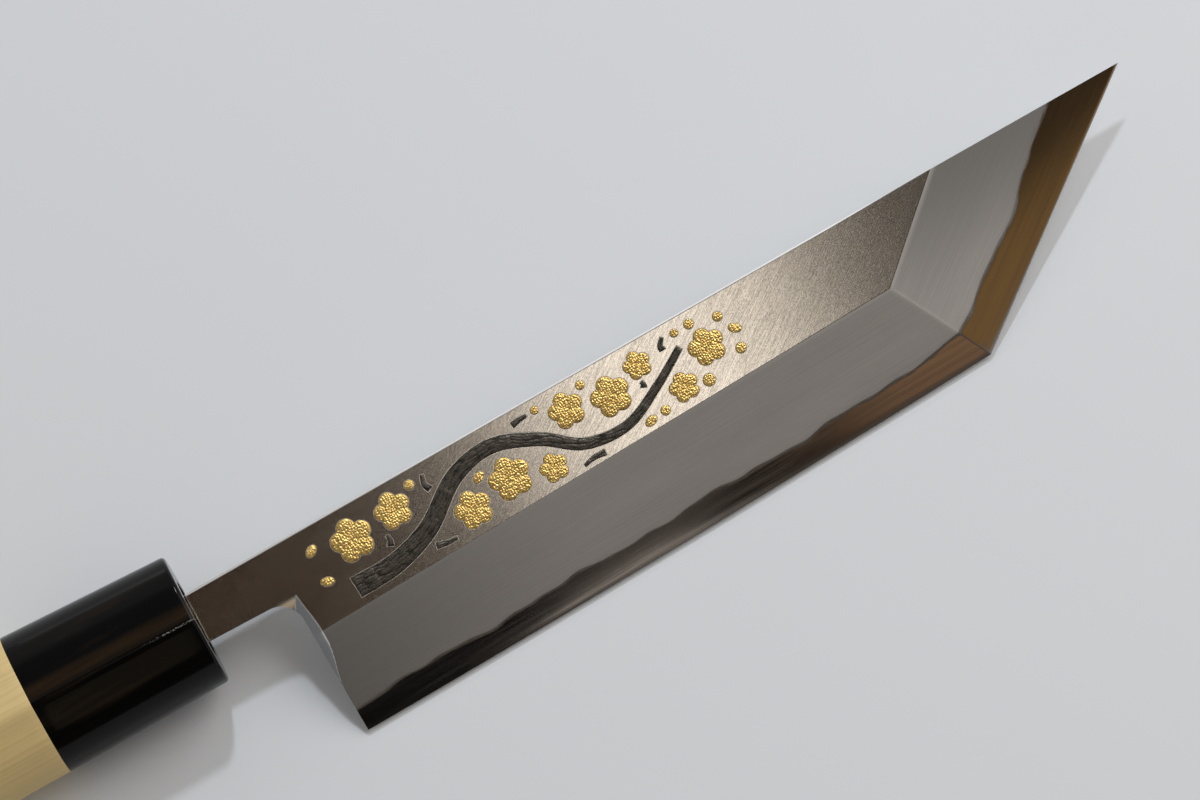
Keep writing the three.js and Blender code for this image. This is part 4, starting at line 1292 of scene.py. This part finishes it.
class KNIFE_OT_branch(bpy.types.Operator):
    """Build the dark bough and twigs, chiselled like bark"""

    bl_idname = "knife.branch"
    bl_label = "Bough and twigs"
    bl_options = {"REGISTER", "UNDO"}

    def execute(self, context):
        settings = context.scene.knife_inlay
        material = dark_finish(settings)
        for seed, name in enumerate(inlay_names("bough", "twig")):
            stroke = Stroke(name, BARK_SPACING)
            rings, relief = self.bark(stroke, name, settings, float(seed))
            mesh = skin_mesh(name + "_relief", rings, SHARP_BARK, values=relief)
            show(name + "_relief", mesh, [material], [name])
        return {"FINISHED"}

    def bark(self, stroke, name, settings, seed):
        """Rings across the stroke: a flat bottom, upright sides and a round top cut into plates of bark.
        The top's height is the root of one less the squared share across, more at knots, plus long plates and
        small flecks."""
        low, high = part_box(name)
        flat = high.z - INLAY_RELIEF
        sway, sway_wave, knot_wave = 0.25 * MM, 1.7 * MM, 1.3 * MM
        plate_size, plate_stretch = 0.62 * MM, 4.5
        fleck_size, fleck_stretch = 0.26 * MM, 1.4
        end_start, end_full = -0.05 * MM, 0.4 * MM
        across = np.sin(np.linspace(-0.5, 0.5, 57) * math.pi)
        along = stroke.along[:, None]
        wide = np.linalg.norm(stroke.side, axis=1)[:, None]
        aside = across * wide + sway * ripple(along / sway_wave, seed)
        plates = grains(along / plate_stretch + 0.0 * aside, aside, plate_size, seed)
        flecks = grains(along / fleck_stretch + 0.0 * aside, aside, fleck_size, seed + 5.0)
        knots = np.clip(ripple(along / knot_wave, seed + 4.0), 0.0, 1.0) ** 2
        crown = np.sqrt(np.clip(1.0 - across ** 2, 0.0, 1.0))
        end = np.minimum(along, stroke.along[-1] - along)
        ease = smooth(end, end_start, end_full)
        texture = 0.75 * plates + 0.25 * flecks
        rise = settings.dome_rise * crown * (0.75 + 0.35 * knots)
        rise = rise + settings.bark_rise * (texture - 0.4) * smooth(crown, 0.0, 0.5)
        height = flat + settings.rim_rise + ease * rise
        place = stroke.middle[:, None] + stroke.side[:, None] * across[:, None]
        top = np.concatenate([place, height[..., None]], -1)
        bottom = top[:, [-1, 0]].copy()
        bottom[..., 2] = low.z + INLAY_GAP
        relief = smooth(crown, 0.0, 0.6) * (0.15 + 0.75 * texture + 0.2 * knots)
        return np.concatenate([top, bottom], 1), np.concatenate([relief, np.zeros((len(top), 2))], 1)


class KNIFE_OT_gold(bpy.types.Operator):
    """Build the grained gold blossoms, buds and fallen petals"""

    bl_idname = "knife.gold"
    bl_label = "Blossoms, buds and petals"
    bl_options = {"REGISTER", "UNDO"}

    def execute(self, context):
        settings = context.scene.knife_inlay
        material = gold_finish(settings)
        shapes = {n: Blossom(n, settings.petal_reach) for n in inlay_names("blossom")}
        shapes.update({n: Oval(n) for n in inlay_names("bud", "fallen")})
        for seed, (name, shape) in enumerate(shapes.items()):
            rings, relief = self.granulated(shape, name, settings, float(seed))
            mesh = skin_mesh(name + "_relief", rings, SHARP_GOLD, values=relief)
            show(name + "_relief", mesh, [material], [name])
        return {"FINISHED"}

    def granulated(self, shape, name, settings, seed):
        """Rings from the middle out to the rim, and down to the pocket's floor: the shape's dome with nuggets
        of gold on it, over every direction and share of the way to the rim."""
        low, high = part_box(name)
        flat = high.z - INLAY_RELIEF
        large = shape.rim(0.0) + shape.rim(1.0) > LARGE_INLAY
        around, rows = (280, 48) if large else (96, 20)
        facing = np.linspace(0.0, 2.0 * math.pi, around, endpoint=False)
        way = np.linspace(0.02, 1.0, rows)[:, None]
        far = way * shape.rim(facing)
        x = shape.middle[0] + far * np.cos(facing)
        y = shape.middle[1] + far * np.sin(facing)
        nuggets = grains(x, y, settings.grain_size, seed)
        fine = grains(x, y, 0.55 * settings.grain_size, seed + 9.0)
        texture = 0.75 * nuggets + 0.25 * fine
        dome = shape.dome(far, facing)
        edge = smooth(1.0 - way, 0.0, 0.08)
        height = flat + settings.rim_rise + settings.dome_rise * dome
        height = height + settings.grain_rise * (texture - 0.3) * edge
        rings = np.stack([x, y, height], -1)
        skirt = rings[-1:].copy()
        skirt[..., 2] = low.z + INLAY_GAP
        # Low between the grains and where the dome falls to the rim, where the gold's finish paints shade.
        relief = np.clip(0.25 + 0.75 * texture, 0.0, 1.0) * (0.5 + 0.5 * np.clip(1.6 * dome, 0.0, 1.0))
        return np.concatenate([rings, skirt]), np.concatenate([relief, np.zeros((1, len(facing)))])


OVAL_POINTS = 121
RIDGE_POINTS = 13
SHARP_HANDLE = math.radians(40.0)
BORE_LIP = 0.15 * MM  # chamfer at the front of the ferrule's bore


class HandleShape:
    """The handle's axis and length, read from the CAD pieces, and its sections."""

    def __init__(self, settings):
        low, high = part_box("ferrule")
        self.settings = settings
        self.front = high.x
        self.joint = low.x
        self.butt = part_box("handle_grip")[0].x
        self.axis_y = (low.y + high.y) / 2.0
        self.axis_z = (node_points("edge_steel")[:, 2].min() + node_points("blade_iron")[:, 2].max()) / 2.0

    def oval(self, x):
        """Half height and half thickness of the oval at a place along the handle."""
        s = self.settings
        stops = [self.butt, self.joint, self.front]
        way = np.clip((self.joint - x) / (self.joint - self.butt), 0.0, 1.0)
        swell = s.grip_swell * np.sin(math.pi * way)
        height = np.interp(x, stops, [s.butt_height, s.joint_height, s.front_height]) + swell
        thickness = np.interp(x, stops, [s.butt_thickness, s.joint_thickness, s.front_thickness]) + swell
        return height / 2.0, thickness / 2.0

    def sections(self, x, inset):
        """Chestnut sections at places along the handle, each a ring: an oval, the two flats that touch it and
        run up to a ridge, and a parabola that rounds the ridge. An inset shrinks the oval."""
        s = self.settings
        high, thick = (half - inset for half in self.oval(x))
        apex = thick + s.ridge_rise
        touch = np.arcsin(thick / apex)
        way = np.linspace(0.0, 1.0, OVAL_POINTS)
        turn = (math.pi - touch)[:, None] + (math.pi + 2.0 * touch)[:, None] * way
        y, z = high[:, None] * np.cos(turn), thick[:, None] * np.sin(turn)
        flat_y, flat_z = y[:, -1], z[:, -1] - apex
        keep = s.ridge_round / np.hypot(flat_y, flat_z)
        round_y, round_z = flat_y * keep, apex + flat_z * keep
        t = np.linspace(0.0, 1.0, RIDGE_POINTS)
        ridge_y = round_y[:, None] * (1.0 - 2.0 * t)
        ridge_z = round_z[:, None] + (apex - round_z)[:, None] * 2.0 * t * (1.0 - t)
        places = np.broadcast_to(x[:, None], (len(x), OVAL_POINTS + RIDGE_POINTS))
        return np.stack([
            places,
            self.axis_y + np.concatenate([y, ridge_y], 1),
            self.axis_z + np.concatenate([z, ridge_z], 1),
        ], -1)

    def around(self, x, ring, radius):
        """A ring at a place along the handle, at a radius in the direction of each point of another ring."""
        facing = np.arctan2(ring[:, 2] - self.axis_z, ring[:, 1] - self.axis_y)
        far = radius(facing) if callable(radius) else radius
        y, z = self.axis_y + far * np.cos(facing), self.axis_z + far * np.sin(facing)
        return np.stack([np.full(len(y), x), y, z], -1)[None]

    def rounded(self, end, way, radius, count):
        """Sections of a rounded end, from the side to the face. The way points outwards."""
        turn = np.linspace(0.0, math.pi / 2.0, count)
        return self.sections(end - way * radius * (1.0 - np.sin(turn)), radius * (1.0 - np.cos(turn)))


class KNIFE_OT_ferrule(bpy.types.Operator):
    """Build the horn ferrule"""

    bl_idname = "knife.ferrule"
    bl_label = "Ferrule"
    bl_options = {"REGISTER", "UNDO"}

    def execute(self, context):
        settings = context.scene.knife_handle
        shape = HandleShape(settings)
        back = shape.rounded(shape.joint, -1.0, settings.joint_round, 4)[::-1]
        start, end = shape.joint + settings.joint_round, shape.front - settings.front_round
        sides = shape.sections(np.linspace(start, end, 12)[1:-1], np.zeros(10))
        front = shape.rounded(shape.front, 1.0, settings.front_round, 10)
        bore = settings.bore / 2.0
        inner = [
            shape.around(shape.front, front[-1], bore + BORE_LIP),
            shape.around(shape.front - BORE_LIP, front[-1], bore),
            shape.around(shape.joint, front[-1], bore),
        ]
        rings = np.concatenate([back, sides, front] + inner)
        mesh = skin_mesh("horn_ferrule", rings, SHARP_HANDLE, closed=True)
        show("horn_ferrule", mesh, [horn_finish(settings, shape.front, shape.axis_y)], ["ferrule"])
        return {"FINISHED"}


class KNIFE_OT_grip(bpy.types.Operator):
    """Build the wooden grip with its tenon and the slot for the tang"""

    bl_idname = "knife.grip"
    bl_label = "Grip"
    bl_options = {"REGISTER", "UNDO"}

    def execute(self, context):
        settings = context.scene.knife_handle
        blade = BladeShape(context.scene.knife_blade)
        shape = HandleShape(settings)
        butt = shape.rounded(shape.butt, -1.0, settings.butt_round, 10)[::-1]
        places = np.linspace(shape.butt + settings.butt_round, shape.joint - settings.joint_round, 42)[1:-1]
        sides = shape.sections(places, np.zeros(40))
        joint = shape.rounded(shape.joint, 1.0, settings.joint_round, 4)
        tip = shape.front - settings.tenon_recess
        end = shape.front - blade.settings.tang_length - settings.slot_clearance
        tenon = [
            shape.around(shape.joint, joint[-1], settings.tenon / 2.0),
            shape.around(tip, joint[-1], settings.tenon / 2.0),
            shape.around(tip, joint[-1], self.slot(blade, tip, settings.slot_clearance)),
            shape.around(end, joint[-1], self.slot(blade, end, settings.slot_clearance)),
        ]
        rings = np.concatenate([butt, sides, joint] + tenon)
        mesh = skin_mesh("wood_grip", rings, SHARP_HANDLE)
        show("wood_grip", mesh, [wood_finish(settings)], ["handle_grip"])
        return {"FINISHED"}

    @staticmethod
    def slot(blade, x, clearance):
        """Distance from the axis to the sides of the tang's slot, in each direction."""
        s = blade.settings
        way = (blade.front - x) / s.tang_length
        half_y = (s.neck_height + (s.tang_end_height - s.neck_height) * way) / 2.0 + clearance
        half_z = blade.tang_half(x) + clearance
        least = 1e-6

        def radius(facing):
            to_y = half_y / np.maximum(np.abs(np.cos(facing)), least)
            to_z = half_z / np.maximum(np.abs(np.sin(facing)), least)
            return np.minimum(to_y, to_z)

        return radius


KEY_WAY = (0.304, 0.758, 0.578)
FILL_WAY = (0.72, 0.3, 0.62)
FLOOR_FADE = (0.35, 1.0)  # distances from the origin between which the floor fades into the background
BACKGROUND = (0.84, 0.85, 0.86)
CAMERA_BACK = (-0.03014, -0.01644, 0.99941)  # from the knife to the camera
CAMERA_AIM = (0.05262, 0.0112)  # the place on the flat at the middle of the picture
SENSOR_WIDTH = 36.0
ROOM_LIGHT = (0.5, 0.49, 0.48)
# Patches of the room in the order in which they are laid on it: the direction to a patch, the angles from it
# in degrees at which the patch is full and at which it ends, and its light. A name says where a patch is, or
# which face of the knife mirrors it to the camera.
ROOM_PATCHES = {
    "wall beyond the edge": ((0.1, -1.0, 0.6), 20.0, 42.0, (0.05, 0.045, 0.04)),
    "spine's chamfer": ((0.05, 1.0, -0.18), 4.0, 5.3, (1.25, 1.27, 1.3)),
    "heel's slope": ((-1.0, -0.1, 0.58), 17.0, 25.0, (0.15, 0.155, 0.165)),
    "heel's slope where it is shallow": ((-1.0, -0.1, 1.6), 3.0, 6.0, (0.5, 0.51, 0.52)),
    "neck's slope where it is steep": ((-0.04, -0.84, 1.0), 4.0, 7.0, (0.5, 0.4, 0.27)),
    "wall beyond the spine": ((-0.05, 0.9, 1.0), 12.0, 26.0, (0.2, 0.2, 0.21)),
    "ceiling": ((-0.05, -0.15, 1.0), 20.0, 32.0, (0.1, 0.085, 0.07)),
    "ceiling towards the heel": ((-0.045, -0.24, 1.0), 3.0, 7.0, (0.014, 0.013, 0.012)),
    "steel at the heel": ((-0.025, -0.5, 1.0), 2.6, 5.0, (0.006, 0.006, 0.006)),
    "steel at mid edge": ((0.055, -0.52, 1.0), 0.6, 1.5, (0.4, 0.36, 0.32)),
    "steel past mid edge": ((0.088, -0.5, 1.0), 0.9, 1.7, (0.012, 0.011, 0.01)),
    "steel at the corner": ((0.128, -0.485, 1.0), 1.0, 2.2, (0.27, 0.16, 0.09)),
    "point's bevel": ((0.375, -0.24, 1.0), 3.0, 8.0, (0.05, 0.032, 0.016)),
    "steel at the point": ((0.4, -0.34, 1.0), 1.0, 4.0, (0.25, 0.145, 0.055)),
    "flat at the neck": ((-0.035, 0.017, 1.0), 1.6, 3.6, (0.06, 0.04, 0.026)),
    "flat at its far end": ((0.092, 0.017, 1.0), 1.0, 2.6, (0.1, 0.085, 0.07)),
}
# The bright panel overhead, which the middle of the flat mirrors, on a plane at height one: its middle, and
# the distances from there along X and Y at which it is full and at which it ends.
PANEL_MIDDLE = (0.0393, 0.017)
PANEL_ALONG = (0.0145, 0.0255)
PANEL_ACROSS = (0.06, 0.1)
PANEL_LIGHT = (2.0, 1.83, 1.6)
PANEL_LOWEST = 0.2  # height of a direction below which the panel fades out


class KNIFE_OT_stage(bpy.types.Operator):
    """Build the floor, the light and the camera"""

    bl_idname = "knife.stage"
    bl_label = "Stage"
    bl_options = {"REGISTER", "UNDO"}

    def execute(self, context):
        s = context.scene.knife_stage
        shape = BladeShape(context.scene.knife_blade)
        origin, up = self.resting_plane(shape, s)
        self.build_floor(s, origin, up)
        self.build_world(context.scene, up)
        self.build_light("Key light", KEY_WAY, s.key_distance, s.key_size, s.key_power, s.key_colour)
        self.build_light("Fill light", FILL_WAY, s.fill_distance, s.fill_size, s.fill_power, s.fill_colour)
        self.build_camera(context.scene, s, shape)
        context.scene.view_settings.view_transform = "Standard"
        return {"FINISHED"}

    @staticmethod
    def resting_plane(shape, settings):
        """The plane under the ends of the edge that just touches the handle: a place on it and its normal."""
        low = shape.back - settings.edge_rest
        handle = np.concatenate([node_points("ferrule"), node_points("handle_grip")])
        away = (handle[:, :2] - shape.heel) @ shape.edge_in
        tilt = ((handle[:, 2] - low) / away)[away > MM].min()
        return (*shape.heel, low), Vector((*(-tilt * shape.edge_in), 1.0)).normalized()

    @staticmethod
    def build_floor(settings, origin, up):
        """A pale sheet on the resting plane, which fades into the background away from the knife. Seen from
        below, it is left out of the picture."""
        half = settings.floor_size / 2.0
        along = Vector((1.0, 0.0, 0.0)).cross(up).cross(up).normalized()
        across = up.cross(along)
        corners = [(-half, -half), (half, -half), (half, half), (-half, half)]
        points = [Vector(origin) + across * -a + along * -b for a, b in corners]
        mesh = bpy.data.meshes.new("Floor")
        mesh.from_pydata([tuple(p) for p in points], [], [(0, 1, 2, 3)])
        mesh.update()
        if mesh.polygons[0].normal.dot(up) < 0.0:
            mesh.flip_normals()
        material, nodes = new_finish("Pale floor")
        inputs = {"Base Color": (*settings.floor_colour, 1.0), "Roughness": 0.6, "Specular IOR Level": 0.2}
        shader = nodes.add("ShaderNodeBsdfPrincipled", inputs)
        clear = nodes.add("ShaderNodeBsdfTransparent", {})
        below = nodes.add("ShaderNodeNewGeometry", {}).outputs["Backfacing"]
        from_camera, mirrored = nodes.rays()
        seen = nodes.math("MAXIMUM", from_camera, mirrored)
        away = nodes.add("ShaderNodeVectorMath", {0: nodes.place()}, operation="LENGTH").outputs["Value"]
        faded = nodes.eased(away, *FLOOR_FADE, 0.0, 1.0)
        hidden = nodes.math("MULTIPLY", nodes.math("MAXIMUM", below, faded), seen)
        mix = nodes.add("ShaderNodeMixShader", {0: hidden, 1: shader.outputs[0], 2: clear.outputs[0]})
        nodes.add("ShaderNodeOutputMaterial", {"Surface": mix.outputs[0]})
        mesh.materials.append(material)
        floor = fresh_object("Floor", mesh)

    @staticmethod
    def build_world(scene, up):
        """A grey room: dark walls, a warm ceiling with a bright panel, and patches that the blade mirrors. The
        camera sees it plain and pale, and so do mirrored rays that pass the floor."""
        world = bpy.data.worlds.new("Studio room")
        scene.world = world
        world.use_nodes = True
        nodes = Finish(world.node_tree)
        way = nodes.add("ShaderNodeTexCoord", {}).outputs["Generated"]

        def toward(direction):
            inputs = {0: way, 1: tuple(Vector(direction).normalized())}
            return nodes.add("ShaderNodeVectorMath", inputs, operation="DOT_PRODUCT").outputs["Value"]

        def panel():
            x, y, z = nodes.add("ShaderNodeSeparateXYZ", {0: way}).outputs
            inside = nodes.ranged(z, 0.0, PANEL_LOWEST, 0.0, 1.0)
            for part, middle, (full, end) in zip((x, y), PANEL_MIDDLE, (PANEL_ALONG, PANEL_ACROSS)):
                away = nodes.apart(nodes.math("DIVIDE", part, z), middle)
                inside = nodes.math("MULTIPLY", inside, nodes.eased(away, end, full, 0.0, 1.0))
            return inside

        shade = ROOM_LIGHT
        for direction, full, end, light in ROOM_PATCHES.values():
            edge, core = math.cos(math.radians(end)), math.cos(math.radians(full))
            shade = nodes.mixed(nodes.eased(toward(direction), edge, core, 0.0, 1.0), shade, light)
        shade = nodes.mixed(panel(), shade, PANEL_LIGHT)
        from_camera, mirrored = nodes.rays()
        past_floor = nodes.ranged(toward(-up), 0.0, 0.01, 0.0, 1.0)
        seen = nodes.math("MAXIMUM", from_camera, nodes.math("MULTIPLY", mirrored, past_floor))
        shade = nodes.mixed(seen, shade, BACKGROUND)
        background = nodes.add("ShaderNodeBackground", {"Color": shade, "Strength": 1.0})
        nodes.add("ShaderNodeOutputWorld", {"Surface": background.outputs[0]})

    @staticmethod
    def build_light(name, direction, distance, size, power, shade):
        """A round soft light that faces the knife from a direction."""
        light = bpy.data.lights.new(name, "AREA")
        light.shape = "DISK"
        light.size = size
        light.energy = power
        light.color = shade
        lamp = fresh_object(name, light)
        way = Vector(direction).normalized()
        lamp.location = way * distance
        lamp.rotation_mode = "QUATERNION"
        lamp.rotation_quaternion = way.to_track_quat("Z", "Y")

    @staticmethod
    def build_camera(scene, settings, shape):
        """A camera nearly straight above the flat, turned so that the blade runs up to the right."""
        back = Vector(CAMERA_BACK).normalized()
        turn = settings.camera_turn
        up = Vector((math.sin(turn), math.cos(turn), 0.0))
        up = (up - back * up.dot(back)).normalized()
        right = up.cross(back)
        data = bpy.data.cameras.new("Camera")
        data.sensor_width = SENSOR_WIDTH
        data.lens = settings.camera_lens
        camera = fresh_object("Camera", data)
        place = Vector((*CAMERA_AIM, shape.flat)) + back * settings.camera_distance
        camera.matrix_world = Matrix.Translation(place) @ Matrix((right, up, back)).transposed().to_4x4()
        scene.camera = camera


class KNIFE_PT_panel(bpy.types.Panel):
    """Lists the pieces of the knife and their settings"""

    bl_idname = "KNIFE_PT_panel"
    bl_label = "Eel knife"
    bl_space_type = "VIEW_3D"
    bl_region_type = "UI"
    bl_category = "Eel knife"

    def draw(self, context):
        for operator in OPERATORS:
            self.layout.operator(operator.bl_idname)
        for name, group in SETTINGS.items():
            box = self.layout.box()
            box.label(text=group.__doc__)
            for key in group.__annotations__:
                box.prop(getattr(context.scene, name), key)


OPERATORS = (KNIFE_OT_blade, KNIFE_OT_branch, KNIFE_OT_gold, KNIFE_OT_ferrule, KNIFE_OT_grip, KNIFE_OT_stage)
SETTINGS = {
    "knife_blade": KnifeBladeSettings,
    "knife_inlay": KnifeInlaySettings,
    "knife_handle": KnifeHandleSettings,
    "knife_stage": KnifeStageSettings,
}


def register():
    """Adds the settings, operators and panel."""
    for name, group in SETTINGS.items():
        bpy.utils.register_class(group)
        setattr(bpy.types.Scene, name, bpy.props.PointerProperty(type=group))
    for cls in (*OPERATORS, KNIFE_PT_panel):
        bpy.utils.register_class(cls)


def unregister():
    """Takes them out again."""
    for cls in reversed((*OPERATORS, KNIFE_PT_panel)):
        bpy.utils.unregister_class(cls)
    for name, group in SETTINGS.items():
        delattr(bpy.types.Scene, name)
        bpy.utils.unregister_class(group)


def main():
    """Builds every piece and the stage."""
    register()
    bpy.ops.knife.blade()
    bpy.ops.knife.branch()
    bpy.ops.knife.gold()
    bpy.ops.knife.ferrule()
    bpy.ops.knife.grip()
    bpy.ops.knife.stage()
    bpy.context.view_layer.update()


if __name__ == "__main__":
    main()
